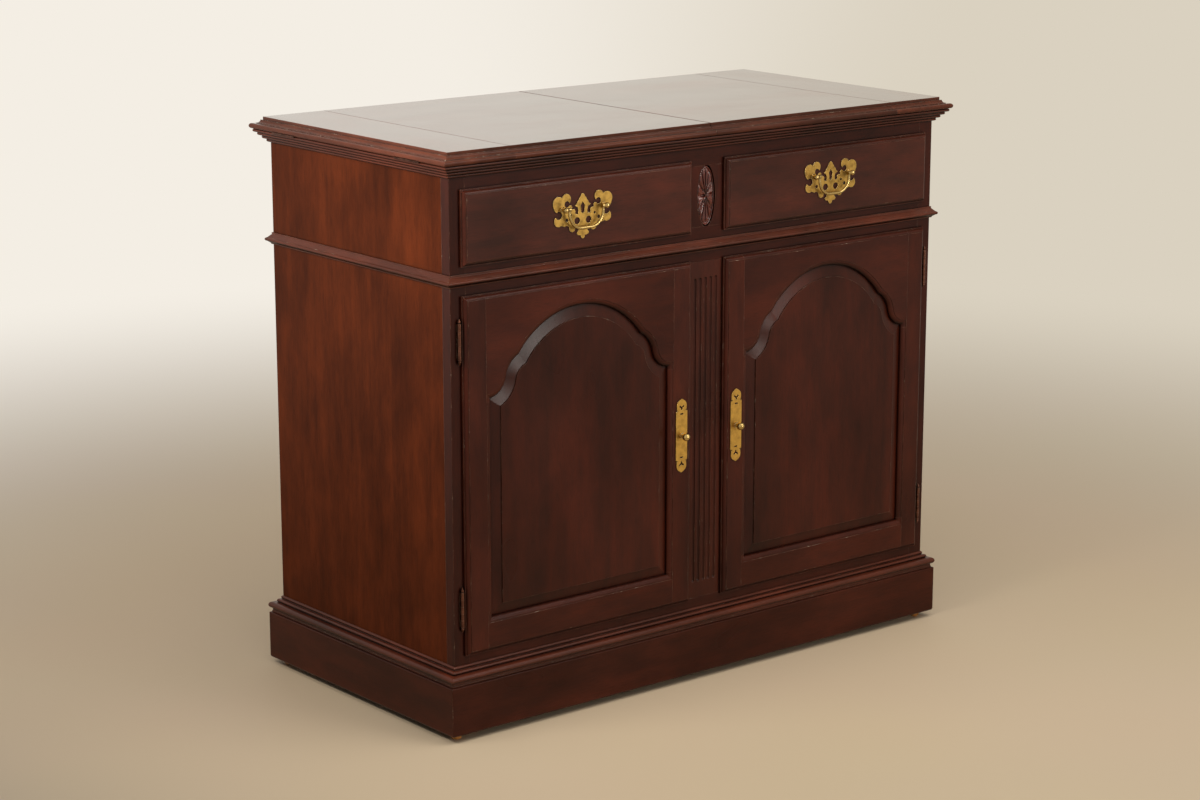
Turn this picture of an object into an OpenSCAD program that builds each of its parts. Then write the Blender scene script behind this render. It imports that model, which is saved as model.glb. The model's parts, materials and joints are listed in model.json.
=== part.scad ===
// Flip-top server: a mahogany sideboard on a plinth. Its top is two leaves that flip out over
// the ends to open a serving surface, above two drawers and a cupboard with two arched doors.
// X runs to the right, Y to the back and Z up, with the origin on the floor under the middle.

/* [Case] */
// Width of the case over its end panels
case_w = 964; // [900:1:1100]
// Depth of the case from the face frame to the back
case_d = 460; // [420:1:520]
// Thickness of end panels, face frame, shelf and floor boards
board_t = 19; // [16:0.5:22]
// Thickness of the finished back
back_t = 12; // [9:0.5:15]
// Depth of the housings that boards slot into
housing_d = 6; // [4:0.5:8]
// Width of the face frame's end stiles
end_stile_w = 27; // [25:0.5:34]
// Width of the face frame's centre stiles
centre_stile_w = 85; // [80:1:95]

/* [Heights] */
// Height of the nylon glides
glide_h = 10; // [6:0.5:14]
// Height of the plinth boards
plinth_h = 76; // [60:1:95]
// Height of the face frame's bottom rail
bottom_rail_h = 50.5; // [42:0.5:60]
// Height of the cupboard opening
door_open_h = 520; // [500:1:560]
// Height of the rail between drawers and doors
mid_rail_h = 61; // [56:0.5:72]
// Height of a drawer opening
drawer_open_h = 93; // [88:0.5:110]
// Height of the face frame's top rail
top_rail_h = 27; // [22:0.5:36]
// Thickness of the fixed sub-top
sub_top_t = 20; // [19:0.5:21]
// Thickness of a flip leaf
leaf_t = 18.2; // [17.5:0.1:20]

/* [Mouldings] */
// Reach of the leaf's nose past the case
nose_out = 24; // [23:0.5:28]
// Radius of the leaf's nose
nose_r = 4; // [3.5:0.1:4.5]
// Height and step of each cornice reed
reed = 5; // [4.5:0.1:5]
// Height of the waist moulding
waist_h = 18; // [15:0.5:20]
// Reach of the waist moulding
waist_out = 10; // [8:0.5:12]
// Height of the waist moulding's foot above the bottom of its rail
waist_up = 23; // [18:0.5:26]
// Height of the base moulding
base_h = 27.5; // [26:0.5:30]
// Reach of the base moulding's big reed
base_out = 17.5; // [16:0.5:20]
// Thickness of the plinth boards
plinth_t = 19; // [18:0.5:22]
// Reach of the plinth past the case
plinth_out = 16.5; // [14:0.5:17]

/* [Fronts] */
// Overlap of a door or drawer front on the face frame
lip = 9.5; // [8:0.5:11]
// Thickness of that overlapping lip's edge
lip_t = 4; // [3:0.1:5]
// Width of the flat fillet round a front
fillet_w = 2; // [1:0.1:3]
// Rise of a front from its lip's edge to its face
thumb_r = 6; // [5:0.1:7]
// Height of the sharp step between the quarter round and the face
lip_quirk = 1; // [0.6:0.1:1.5]
// Depth of a front behind the face frame's face
rebate_d = 9.5; // [8.5:0.1:12]
// Play between a front and the sides of its opening
front_gap = 1.5; // [1:0.1:2.5]
// Width of a door stile from the lip to the panel opening
frame_w = 39.25; // [36:0.25:46]
// Height of a door's bottom rail
foot_rail_h = 45; // [40:1:60]
// Height of the arched rail over the crown of the arch
crown_rail_h = 30.5; // [26:0.5:40]
// Radius of the arch
arch_r = 151; // [140:1:155]
// Height from the door's top to the arch's shoulders
shoulder_drop = 148.3; // [140:0.1:160]
// Radius of the coves over the shoulders
cove_r = 25.7; // [22:0.1:29]
// Flat length of each shoulder beside its cove
shoulder_flat = 3.9; // [2:0.1:6]
// Radius of the lobes between coves and arch
lobe_r = 52.3; // [48:0.1:56]
// Slope in degrees of the line from lobe to cove
lobe_slope = 10.7; // [8:0.1:14]
// Width of the ovolo round the panel opening
ovolo_w = 8; // [6:0.1:9]
// Width from the panel opening to the raised field
field_in = 26; // [22:0.5:32]

/* [Drawers] */
// Clearance between a drawer box and the back panel
drawer_back_gap = 18.5; // [10:0.5:60]
// Thickness of drawer sides and backs
drawer_side_t = 12; // [10:0.5:14]
// Height of the drawer sides
drawer_side_h = 82; // [60:1:84]
// Thickness of drawer bottoms
drawer_bottom_t = 6; // [4:0.5:8]
// Height of a drawer bottom above the drawer's edge
bottom_up = 10; // [7:0.5:14]
// Height of the strips that guide the drawers
guide_h = 20; // [12:1:30]

/* [Shelf] */
// Height of the shelf above the cupboard floor
shelf_up = 255; // [200:1:320]
// Distance from the shelf's front edge to its front pins
pin_fore = 30; // [20:1:60]
// Distance from the case's back to the rear pins
pin_rear = 90; // [60:1:120]
// Radius of a shelf pin
shelf_pin_r = 2.5; // [2:0.1:3.5]

/* [Hardware] */
// Distance between the posts of a pull
post_span = 76.5; // [72:0.5:80]
// Height of the posts above the middle of the drawer
post_up = 10; // [6:0.5:14]
// Drop of a bail below its posts
bail_drop = 29; // [27:0.5:33]
// Diameter of the bail's rod
bail_rod = 4.4; // [3.6:0.1:5]
// Reach of the bail's axis from the drawer's face
bail_out = 10; // [9:0.5:13]
// Diameter of a post's ball head
post_ball = 8.8; // [8:0.1:10]
// Diameter of a bail's pivot pins
pivot_d = 2.6; // [2:0.1:3.2]
// Thickness of the pierced brass plates
plate_t = 1.4; // [1:0.1:2]
// Diameter of a door knob
knob_d = 12.6; // [10:0.1:15]
// Reach of a door knob from the door's face
knob_out = 18.3; // [16:0.1:22]
// Height of the knobs above the door's bottom edge
knob_up = 272; // [240:1:300]
// Distance from the door's free edge to the knob
knob_in = 22.7; // [20:0.1:24]
// Thickness of hinge leaves
leaf_plate_t = 1.2; // [1:0.1:1.5]
// Radius of a door hinge's barrel
barrel_r = 3; // [2.6:0.1:3.2]
// Length of a door hinge's barrel
barrel_l = 52; // [44:1:60]
// Distance from the door's edge to its hinge axis
axis_out = 4.5; // [4.2:0.1:5]
// Distance from the face frame to the door's hinge axis
axis_fore = 3.5; // [3.4:0.1:3.8]
// Height of the lower hinges above the door's bottom
hinge_low = 72; // [60:1:90]
// Depth of the upper hinges below the door's top
hinge_high = 66; // [60:1:90]
// Radius of a flip hinge's barrel
flip_barrel_r = 1.6; // [1.5:0.1:1.6]
// Length of a flip hinge
flip_hinge_l = 60; // [45:1:75]
// Distance from a flip hinge's middle to the case's front or back
flip_hinge_in = 70; // [50:1:110]
// Width of a flip hinge's leaves
flip_leaf_w = 26; // [24:1:34]

/* [Fits] */
// Gap between parts that move past each other
run_gap = 0.3; // [0.25:0.05:0.5]
// Glue line between separate lengths of wood
glue_line = 0.12; // [0.1:0.02:0.2]
// Play of a pin in its bore
pin_play = 0.05; // [0.03:0.01:0.08]
// Play of a panel in its groove
groove_play = 0.1; // [0.05:0.05:0.3]
// Gap between the two leaves at the middle
seam = 0.8; // [0.5:0.1:1.5]
// Distance from the middle to the leaves' end boards
end_board_x = 380; // [340:1:400]

/* [Hidden] */
$fn = 64;

// Heights, one on top of the other
plinth_top = glide_h + plinth_h;
door_open_z = plinth_top + bottom_rail_h;
mid_rail_z = door_open_z + door_open_h;
drawer_open_z = mid_rail_z + mid_rail_h;
top_rail_z = drawer_open_z + drawer_open_h;
sub_top_z = top_rail_z + top_rail_h;
serving_z = sub_top_z + sub_top_t;
leaf_z = serving_z + run_gap;

// Places across and into the case
opening_w = (case_w - 2 * end_stile_w - centre_stile_w) / 2;
opening_x = (centre_stile_w + opening_w) / 2;
inner_w = case_w - 2 * board_t;
front_t = lip_t + thumb_r;
front_reach = max(front_t + knob_out, nose_out);
case_front = (front_reach - case_d - nose_out) / 2;
case_mid_y = case_front + case_d / 2;

// Doors
door_w = opening_w + 2 * lip;
door_h = door_open_h + 2 * lip;
door_z = door_open_z - lip;
door_top = door_z + door_h;
panel_half = door_w / 2 - frame_w;
joint_u = panel_half + 1;
panel_z = door_z + foot_rail_h;
arch_z = door_top - crown_rail_h - arch_r;
shoulder_z = door_top - shoulder_drop;
cove_c = [panel_half - shoulder_flat, shoulder_z + cove_r];
lobe_cross = 0.1;
lobe_c = cove_c - (cove_r + lobe_r - lobe_cross) * [cos(lobe_slope), sin(lobe_slope)];
tongue_t = 5.5;
tongue_back = -3;
tongue_in = 1.6;
field_step = 1.2;
field_wall = 2;
tenon_l = 25;
tenon_t = 8;
tenon_shoulder = 9;

// Pins, bores and the hinge axes
pin_r = barrel_r * 0.4;
frame_leaf_w = 9;
barrel_relief = 0.4;
flip_pin_r = flip_barrel_r / 2;
flip_relief = 0.5;
door_axis_x = opening_x + door_w / 2 + axis_out;
flip_axis_x = case_w / 2 + nose_out - flip_barrel_r;
flip_axis_z = serving_z + run_gap / 2;
knuckles = 5;

// Drawers and their pulls
drawer_l = case_d - back_t - rebate_d - drawer_back_gap;
drawer_w = opening_w + 2 * lip;
drawer_h = drawer_open_h + 2 * lip;
drawer_mid_z = drawer_open_z + drawer_open_h / 2;
post_r = 2.6;
plate_k = post_span / 76.5;

// Chamfers beside the joints that show on the top
joint_v = 0.6;
seam_v = 0.9;

// Small pieces inside the case
laminate_t = 0.8;
laminate_margin = 14;
shelf_setback = 30;
shelf_play = 1.5;
shelf_z = door_open_z + shelf_up;
shelf_pin_y = [board_t + shelf_setback + pin_fore, case_d - pin_rear];
shelf_pin_l = 18;
shelf_pin_in = 8;
pin_hole_pitch = 32;
catch_size = [44, 20, 14];
catch_x = 72;
pole_t = 2;
pole_in = 3;
strike_size = [40, 1.2, 12];
block_size = 50;
glide_r = 7.75;
glide_in = 22;
nail_r = 1.2;
nail_l = 14;

// Pilaster and rosette
pilaster_w = 64;
pilaster_t = 6;
pilaster_over = 7;
flute_count = 5;
flute_pitch = 10.5;
flute_r = 3;
flute_depth = 2.2;
flute_margin = 25;
rosette_w = 33;
rosette_h = 92;
rosette_t = 3.2;
recess_d = 5;
recess_rim = 1.5;
petal_t = 1.2;
petals = 12;
flower_leaves = 8;

mahogany = "#5a2a1c";
mahogany_dark = "#3f2018";
old_brass = "#b8933f";
dark_brass = "#6b5530";
inner_wood = "#a5754a";

// Helpers

// Left design for side -1, mirrored for side 1
module on_side(side) {
  if (side < 0) children();
  else mirror([1, 0, 0]) children();
}

// A board given by its corners, measured from the case's front face
module board(x0, x1, y0, y1, z0, z1) {
  translate([x0, case_front + y0, z0]) cube([x1 - x0, y1 - y0, z1 - z0]);
}

// The same board on both ends of the case
module board_pair(x0, x1, y0, y1, z0, z1) {
  for (side = [-1, 1]) on_side(side) board(-x1, -x0, y0, y1, z0, z1);
}

// Carries a profile, drawn outward and up, along X
module along_x(length) {
  rotate([90, 0, 90]) linear_extrude(length, center = true) children();
}

// Four mitred lengths round the case, with the profile's o = 0 on the case's faces
module mitred_ring(out, inward = 0) {
  for (s = [[180, case_w, case_d], [0, case_w, case_d], [-90, case_d, case_w], [90, case_d, case_w]])
    translate([0, case_mid_y, 0]) rotate([0, 0, s[0]]) translate([0, s[2] / 2, 0])
      intersection() {
        along_x(s[1] + 2 * out + 2) children();
        linear_extrude(overall_h())
          polygon([
            [-(s[1] / 2 + out) + glue_line, out],
            [s[1] / 2 + out - glue_line, out],
            [s[1] / 2 - inward - glue_line, -inward],
            [-(s[1] / 2 - inward) + glue_line, -inward]
          ]);
      }
}

function overall_h() = leaf_z + leaf_t;
function ellipse(a, b, n) = [for (i = [0 : n - 1]) [a * cos(360 * i / n), b * sin(360 * i / n)]];

// Profiles of the mouldings, drawn as o outward and z up

module leaf_edge() {
  fillet_o = 8;
  quirk_o = 10.8;
  quirk_d = 4.7;
  cove = quirk_d;
  nose_c = nose_out - nose_r;
  translate([-30, 0]) square([30 + fillet_o, leaf_t]);
  square([nose_c, 2 * nose_r]);
  translate([nose_c, nose_r]) circle(nose_r);
  difference() {
    square([quirk_o + cove, leaf_t - quirk_d]);
    translate([quirk_o + cove, leaf_t - quirk_d]) circle(cove);
  }
}

module cornice_profile() {
  translate([0, sub_top_z])
    for (i = [0 : 3]) {
      translate([0, i * sub_top_t / 4]) square([(i + 0.5) * reed, sub_top_t / 4]);
      translate([(i + 0.5) * reed, (i + 0.5) * sub_top_t / 4]) circle(reed / 2);
    }
}

module waist_profile() {
  step_w = 2;
  nose = 2.6;
  nose_z = 7.2;
  cove = waist_out - nose - step_w + 1;
  translate([0, mid_rail_z + waist_up]) {
    square([step_w, waist_h]);
    polygon([
      [0, 0], [step_w, 0.6], [waist_out - nose, nose_z - nose],
      [waist_out - nose, nose_z + nose], [0, waist_h - 1]
    ]);
    translate([waist_out - nose, nose_z]) circle(nose);
    difference() {
      square([waist_out - nose, waist_h - 1.5]);
      translate([waist_out - nose + 0.6, waist_h - 1.5]) circle(cove);
      translate([waist_out - nose + 0.6, 0]) circle(cove * 0.8);
    }
  }
}

module base_profile() {
  big_r = 5;
  small_r = 2.75;
  foot = 2.5;
  big_o = base_out - big_r;
  big_z = base_h - 4 * small_r - big_r;
  translate([0, plinth_top]) {
    square([big_o, big_z + big_r]);
    square([big_o + 0.8, foot]);
    translate([big_o, big_z]) circle(big_r);
    translate([big_o - 7.75, big_z + big_r + small_r - 0.2]) {
      circle(small_r);
      translate([-20, -small_r]) square([20, 2 * small_r]);
    }
    translate([big_o - 12.75, base_h - small_r]) circle(small_r);
    square([1.6, base_h - small_r]);
  }
}

module plinth_profile() {
  toe_r = 4.5;
  ease_r = 1.5;
  inner = plinth_out - plinth_t;
  translate([0, glide_h]) {
    translate([inner, 0]) square([plinth_t - toe_r, plinth_h]);
    translate([plinth_out - toe_r, toe_r]) circle(toe_r);
    translate([inner, toe_r]) square([plinth_t, plinth_h - toe_r - ease_r]);
    translate([inner, toe_r]) square([plinth_t - ease_r, plinth_h - toe_r]);
    translate([plinth_out - ease_r, plinth_h - ease_r]) circle(ease_r);
  }
}

// Case

// End panel with housings for the floor and the dust panel, and a rebate for the back
module side_panel(side) {
  color(mahogany) on_side(side) difference() {
    board(-case_w / 2, -inner_w / 2, board_t, case_d, plinth_top, sub_top_z);
    board(-inner_w / 2 - housing_d, 0, board_t, case_d - back_t, door_open_z - board_t, door_open_z);
    board(-inner_w / 2 - housing_d, 0, board_t, case_d - back_t, drawer_open_z - board_t, drawer_open_z);
    board(-inner_w / 2 - board_t / 2, 0, case_d - back_t, case_d + 1, 0, sub_top_z + 1);
    shelf_pin_holes(shelf_pin_r + pin_play);
  }
}

// Rows of shelf-pin holes, at the pin's height and one pitch above and below
module shelf_pin_holes(r) {
  for (y = shelf_pin_y, step = [-1 : 1])
    translate([
      -inner_w / 2 - shelf_pin_in - pin_play,
      case_front + y,
      shelf_z - shelf_pin_r + step * pin_hole_pitch
    ])
      rotate([0, 90, 0]) cylinder(r = r, h = shelf_pin_in + 1);
}

module left_side_panel() { side_panel(-1); }
module right_side_panel() { side_panel(1); }

module back_panel() {
  half = inner_w / 2 + board_t / 2;
  color(mahogany) board(-half, half, case_d - back_t, case_d, plinth_top, sub_top_z);
}

module bottom_panel() {
  half = inner_w / 2 + housing_d;
  color(inner_wood) board(-half, half, board_t, case_d - back_t, door_open_z - board_t, door_open_z);
}

module dust_panel() {
  half = inner_w / 2 + housing_d;
  color(inner_wood) board(-half, half, board_t, case_d - back_t, drawer_open_z - board_t, drawer_open_z);
}

module drawer_divider() {
  color(inner_wood) board(-board_t / 2, board_t / 2, board_t, case_d - back_t, drawer_open_z, sub_top_z);
}

// Strips on the dust panel that keep the drawers straight
module drawer_guides() {
  outer = opening_x + opening_w / 2 - front_gap + 2 * run_gap;
  inner = opening_x - opening_w / 2 + front_gap - 2 * run_gap;
  color(inner_wood) {
    board_pair(outer, inner_w / 2, board_t, case_d - back_t, drawer_open_z, drawer_open_z + guide_h);
    board_pair(board_t / 2, inner, board_t, case_d - back_t, drawer_open_z, drawer_open_z + guide_h);
  }
}

module sub_top() {
  color(mahogany) difference() {
    board(-case_w / 2, case_w / 2, 0, case_d, sub_top_z, serving_z);
    board(
      -case_w / 2 + laminate_margin + flip_leaf_w, case_w / 2 - laminate_margin - flip_leaf_w,
      laminate_margin, case_d - laminate_margin, serving_z - laminate_t, serving_z + 1
    );
    case_hinge_mortises();
  }
}

module serving_surface() {
  half = case_w / 2 - laminate_margin - flip_leaf_w;
  color("#2b1a15")
    board(-half, half, laminate_margin, case_d - laminate_margin, serving_z - laminate_t, serving_z);
}

module face_frame_stiles() {
  color(mahogany_dark) difference() {
    board_pair(case_w / 2 - end_stile_w, case_w / 2, 0, board_t, plinth_top, sub_top_z);
    for (side = [-1, 1]) on_side(side) each_door_hinge() frame_leaf_plate();
  }
}

module face_frame_rails() {
  half = case_w / 2 - end_stile_w;
  color(mahogany_dark) difference() {
    union() {
      board(-half, half, 0, board_t, plinth_top, door_open_z);
      board(-half, half, 0, board_t, mid_rail_z, drawer_open_z);
      board(-half, half, 0, board_t, top_rail_z, sub_top_z);
    }
    pilaster_block(glue_line);
  }
}

module centre_stiles() {
  half = centre_stile_w / 2;
  color(mahogany_dark) difference() {
    union() {
      board(-half, half, 0, board_t, door_open_z, mid_rail_z);
      board(-half, half, 0, board_t, drawer_open_z, top_rail_z);
    }
    pilaster_block(glue_line);
    translate([0, case_front + recess_d, drawer_mid_z]) rotate([90, 0, 0])
      linear_extrude(recess_d + 1)
        polygon(ellipse(rosette_w / 2 + recess_rim, rosette_h / 2 + recess_rim, 48));
  }
}

// Flush strip let into the lower centre stile and both rails
module pilaster_block(grow) {
  half = pilaster_w / 2 + grow;
  reach = pilaster_over + grow;
  board(-half, half, -grow, pilaster_t, door_open_z - reach, mid_rail_z + reach);
}

module fluted_pilaster() {
  low = door_open_z - pilaster_over + flute_margin;
  high = mid_rail_z + pilaster_over - flute_margin;
  color(mahogany_dark) difference() {
    pilaster_block(0);
    for (i = [0 : flute_count - 1])
      translate([(i - (flute_count - 1) / 2) * flute_pitch, case_front - flute_r + flute_depth, 0]) {
        translate([0, 0, low + flute_r]) cylinder(r = flute_r, h = high - low - 2 * flute_r);
        for (z = [low + flute_r, high - flute_r]) translate([0, 0, z]) sphere(flute_r);
      }
  }
}

// Oval patera: a rimmed ground, long petals, and a small flower round its middle
module carved_rosette() {
  color(mahogany) translate([0, case_front + recess_d, drawer_mid_z]) rotate([90, 0, 0]) {
    linear_extrude(rosette_t) polygon(ellipse(rosette_w / 2, rosette_h / 2, 48));
    slab(rosette_t + petal_t) for (i = [0 : petals - 1])
      rosette_leaf(360 * (i + 0.5) / petals, 0.34, 0.96, 180 / petals * 0.84);
    slab(rosette_t + petal_t + 0.5) for (i = [0 : flower_leaves - 1])
      rosette_leaf(360 * (i + 0.5) / flower_leaves, 0.08, 0.38, 180 / flower_leaves * 0.8);
    linear_extrude(rosette_t + petal_t + 0.9) polygon(ellipse(rosette_w * 0.06, rosette_h * 0.06, 24));
  }
}

// One leaf of the patera along the oval's ray at angle a, from k0 to k1 of its size
module rosette_leaf(a, k0, k1, half) {
  function ray(k, at) = [k * rosette_w / 2 * cos(at), k * rosette_h / 2 * sin(at)];
  shoulder = k1 - 0.12 * (k1 - k0);
  polygon([
    ray(k0, a - half * 0.7), ray(shoulder, a - half), ray(k1 - 0.01, a - half / 2), ray(k1, a),
    ray(k1 - 0.01, a + half / 2), ray(shoulder, a + half), ray(k0, a + half * 0.7)
  ]);
}

module cornice_moulding() {
  color(mahogany) difference() {
    mitred_ring(4 * reed) cornice_profile();
    case_hinge_mortises();
  }
}

module waist_moulding() {
  color(mahogany) mitred_ring(waist_out) waist_profile();
}

module base_moulding() {
  color(mahogany) mitred_ring(base_out) intersection() {
    base_profile();
    translate([0, plinth_top]) square([base_out + 1, base_h]);
  }
}

module plinth_boards() {
  color(mahogany_dark) mitred_ring(plinth_out, plinth_t - plinth_out) plinth_profile();
}

// Puts its children at the inner corner of each plinth corner
module each_corner() {
  for (sx = [0, 1], sy = [0, 1])
    translate([0, case_mid_y, 0]) mirror([sx, 0, 0]) mirror([0, sy, 0])
      translate([-case_w / 2 - plinth_out, -case_d / 2 - plinth_out, 0]) children();
}

module plinth_corner_blocks() {
  color(inner_wood) each_corner() difference() {
    translate([plinth_t, plinth_t, glide_h]) cube([block_size, block_size, plinth_h]);
    translate([glide_in, glide_in, glide_h - 1]) cylinder(r = nail_r + pin_play, h = nail_l + 2);
  }
}

module floor_glides() {
  ease = 2;
  color("#a8712c") each_corner() translate([glide_in, glide_in, 0]) {
    cylinder(r1 = glide_r - ease, r2 = glide_r, h = ease);
    translate([0, 0, ease]) cylinder(r = glide_r, h = glide_h - ease);
    cylinder(r = nail_r, h = glide_h + nail_l);
  }
}

module cupboard_shelf() {
  half = inner_w / 2 - shelf_play;
  color(inner_wood)
    board(-half, half, board_t + shelf_setback, case_d - back_t - shelf_play, shelf_z, shelf_z + board_t);
}

module shelf_pins() {
  color(old_brass) for (side = [-1, 1]) on_side(side)
    for (y = shelf_pin_y)
      translate([-inner_w / 2 - shelf_pin_in, case_front + y, shelf_z - shelf_pin_r])
        rotate([0, 90, 0]) cylinder(r = shelf_pin_r, h = shelf_pin_l);
}

// Catches under the middle rail, their poles just behind the doors' strike plates
module magnetic_catches() {
  face = rebate_d + strike_size[1] + run_gap;
  color("#8a8a8a") for (side = [-1, 1]) on_side(side)
    translate([-catch_x, case_front + face, mid_rail_z - catch_size[2]]) {
      translate([-catch_size[0] / 2, pole_t, 0]) cube(catch_size - [0, pole_t, 0]);
      for (z = [pole_t, catch_size[2] - 2 * pole_t])
        translate([-catch_size[0] / 2 + pole_in, 0, z])
          cube([catch_size[0] - 2 * pole_in, catch_size[1] - pole_t, pole_t]);
    }
}

// Door hinges

// Left door's hinge axis at each hinge's height, +X to the door and +Y to the back
module each_door_hinge() {
  for (z = [door_z + hinge_low, door_top - hinge_high])
    translate([-door_axis_x, case_front - axis_fore, z]) children();
}

// The knuckles of one leaf along Z: every second one, starting at the given one
module knuckle_set(first, length, r) {
  each_l = length / knuckles;
  for (i = [first : 2 : knuckles - 1])
    translate([0, 0, -length / 2 + i * each_l + run_gap / 2]) {
      cylinder(r = r, h = each_l - run_gap);
      children();
    }
}

module frame_leaf_plate() {
  translate([-barrel_r, axis_fore, -barrel_l / 2])
    cube([2 * barrel_r + frame_leaf_w, leaf_plate_t, barrel_l]);
}

module door_hinge_frame_leaves() {
  each_l = barrel_l / knuckles - run_gap;
  color(dark_brass) for (side = [-1, 1]) on_side(side) each_door_hinge() difference() {
    union() {
      frame_leaf_plate();
      knuckle_set(0, barrel_l, barrel_r)
        translate([-barrel_r / 2, 0, 0]) cube([barrel_r, axis_fore + leaf_plate_t / 2, each_l]);
    }
    cylinder(r = pin_r + pin_play, h = barrel_l + 2, center = true);
  }
}

// Pins with a turned ball and point at both ends
module door_hinge_pins() {
  cap_h = 1.2;
  ball_r = 2.6;
  point_r = 1.8;
  point_h = 3;
  ball_z = cap_h + ball_r - 0.5;
  color(dark_brass) for (side = [-1, 1]) on_side(side) each_door_hinge() {
    cylinder(r = pin_r, h = barrel_l + cap_h, center = true);
    for (flip = [0, 1]) mirror([0, 0, flip]) translate([0, 0, barrel_l / 2 + run_gap / 2]) {
      cylinder(r = barrel_r, h = cap_h);
      translate([0, 0, ball_z]) sphere(ball_r);
      translate([0, 0, ball_z + point_r - 0.1]) cylinder(r1 = point_r, r2 = 0.5, h = point_h);
    }
  }
}

// The door's leaf wraps from the lip's back over the rebate to the door's back
module door_leaf_plan() {
  edge = axis_out + lip + front_gap;
  lip_back = axis_fore - run_gap;
  door_back = axis_fore + rebate_d;
  flange = 20;
  start = barrel_r + barrel_relief;
  translate([start, lip_back - leaf_plate_t]) square([edge + leaf_plate_t - start, leaf_plate_t]);
  translate([edge, lip_back - leaf_plate_t]) square([leaf_plate_t, door_back - lip_back + leaf_plate_t]);
  translate([edge, door_back - leaf_plate_t]) square([flange, leaf_plate_t]);
}

module door_leaf_solid() {
  linear_extrude(barrel_l, center = true) door_leaf_plan();
}

module door_hinge_leaves(side) {
  each_l = barrel_l / knuckles - run_gap;
  color(dark_brass) on_side(side) each_door_hinge() difference() {
    union() {
      door_leaf_solid();
      knuckle_set(1, barrel_l, barrel_r)
        translate([0, axis_fore - run_gap - leaf_plate_t, 0])
          cube([barrel_r + 2 * barrel_relief, leaf_plate_t, each_l]);
    }
    cylinder(r = pin_r + pin_play, h = barrel_l + 2, center = true);
  }
}

// Doors, drawn flat: u across, v up from the floor, and w out from the face frame

// Puts the flat drawing of the left door, or its mirror image, in its opening
module in_door(side) {
  on_side(side) translate([-opening_x, case_front, 0]) rotate([90, 0, 0]) children();
}

// Cross-section of a lipped front: w up, with a fillet, quarter round and quirk at both edges
module lipped_section(size, body) {
  round_r = thumb_r - lip_quirk;
  flat = size - 2 * (fillet_w + round_r);
  translate([-body / 2, -rebate_d]) square([body, rebate_d + lip_t]);
  translate([-size / 2, run_gap]) square([size, lip_t - run_gap]);
  translate([-flat / 2, 0]) square([flat, front_t]);
  intersection() {
    for (m = [-1, 1]) translate([m * flat / 2, lip_t]) circle(round_r);
    translate([-size / 2, lip_t - 1]) square([size, round_r + 2]);
  }
}

// A lipped front as the crossing of its two sections, so the moulding mitres at each corner
module lipped_blank(w, h, body_w, body_h) {
  intersection() {
    rotate([90, 0, 0]) linear_extrude(h + 2, center = true) lipped_section(w, body_w);
    rotate([90, 0, 90]) linear_extrude(w + 2, center = true) lipped_section(h, body_h);
  }
}

module door_blank() {
  translate([0, door_z + door_h / 2, 0])
    lipped_blank(door_w, door_h, opening_w - 2 * front_gap, door_open_h - 2 * front_gap);
}

// Solid whose outline at each height w is the panel opening drawn in by t, for [t, w] pairs
module arch_solid(profile) {
  first = profile[0][1];
  last = profile[len(profile) - 1][1];
  depth = door_top - panel_z;
  // Arch and lobes shrink as the outline is drawn in
  translate([0, arch_z, 0]) disc_of(arch_r, -1, profile);
  for (m = [-1, 1]) translate([m * lobe_c[0], lobe_c[1], 0]) disc_of(lobe_r, -1, profile);
  // Straight sides and foot, under a roof line through the lobes' and coves' centres
  difference() {
    intersection() {
      translate([0, panel_z, 0]) rotate([90, 0, 0]) linear_extrude(2 * depth, center = true)
        polygon(concat(
          [for (p = profile) [panel_half - p[0], p[1]]],
          [for (i = [len(profile) - 1 : -1 : 0]) [-panel_half + profile[i][0], profile[i][1]]]
        ));
      translate([0, panel_z, 0]) rotate([90, 0, 90]) linear_extrude(2 * panel_half, center = true)
        polygon(concat([[depth, first]], [for (p = profile) [p[0], p[1]]], [[depth, last]]));
      translate([0, 0, first]) linear_extrude(last - first)
        polygon([
          [-panel_half - 1, 0], [-panel_half - 1, cove_c[1]], [-cove_c[0], cove_c[1]],
          [-lobe_c[0], lobe_c[1]], [lobe_c[0], lobe_c[1]],
          [cove_c[0], cove_c[1]], [panel_half + 1, cove_c[1]], [panel_half + 1, 0]
        ]);
    }
    for (m = [-1, 1]) translate([m * cove_c[0], cove_c[1], 0]) disc_of(cove_r, 1, profile);
  }
}

// A disc turned from a profile, whose radius is r drawn in (sign -1) or let out (sign 1) by t
module disc_of(r, sign, profile) {
  last = len(profile) - 1;
  rotate_extrude($fn = 96)
    polygon(concat(
      [[0, profile[0][1]]],
      [for (p = profile) [r + sign * p[0], p[1]]],
      [[0, profile[last][1]]]
    ));
}

// The ovolo from the frame's face in to the panel, then straight to the back
ovolo_quirk = 0.8;
ovolo_top = front_t - 0.7;
ovolo_low = 3.6;
sticking = concat(
  [[ovolo_w, -rebate_d - 1]],
  [for (a = [90 : -15 : 0])
    [ovolo_quirk + (ovolo_w - ovolo_quirk) * sin(a), ovolo_top - (ovolo_top - ovolo_low) * (1 - cos(a))]],
  [[0, ovolo_top], [0, front_t + 1]]
);
groove = [
  [tongue_in - 0.6, tongue_back - groove_play],
  [tongue_in - 0.6, tongue_back + tongue_t + groove_play]
];
panel_profile = [
  [tongue_in, tongue_back], [tongue_in, tongue_back + tongue_t],
  [ovolo_w + 0.4, tongue_back + tongue_t], [field_in, front_t - field_step - field_wall],
  [field_in, front_t - field_step]
];

module panel_cutter() {
  arch_solid(sticking);
  arch_solid(groove);
}

// Zone of a rail, from its far edge v_far to just past the corner of the panel opening
module rail_zone(v_edge, v_far) {
  v_joint = v_edge + sign(v_edge - v_far) * (ovolo_w + 4);
  translate([-joint_u, min(v_joint, v_far), -rebate_d - 2])
    cube([2 * joint_u, abs(v_joint - v_far), front_t + rebate_d + 4]);
}

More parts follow.
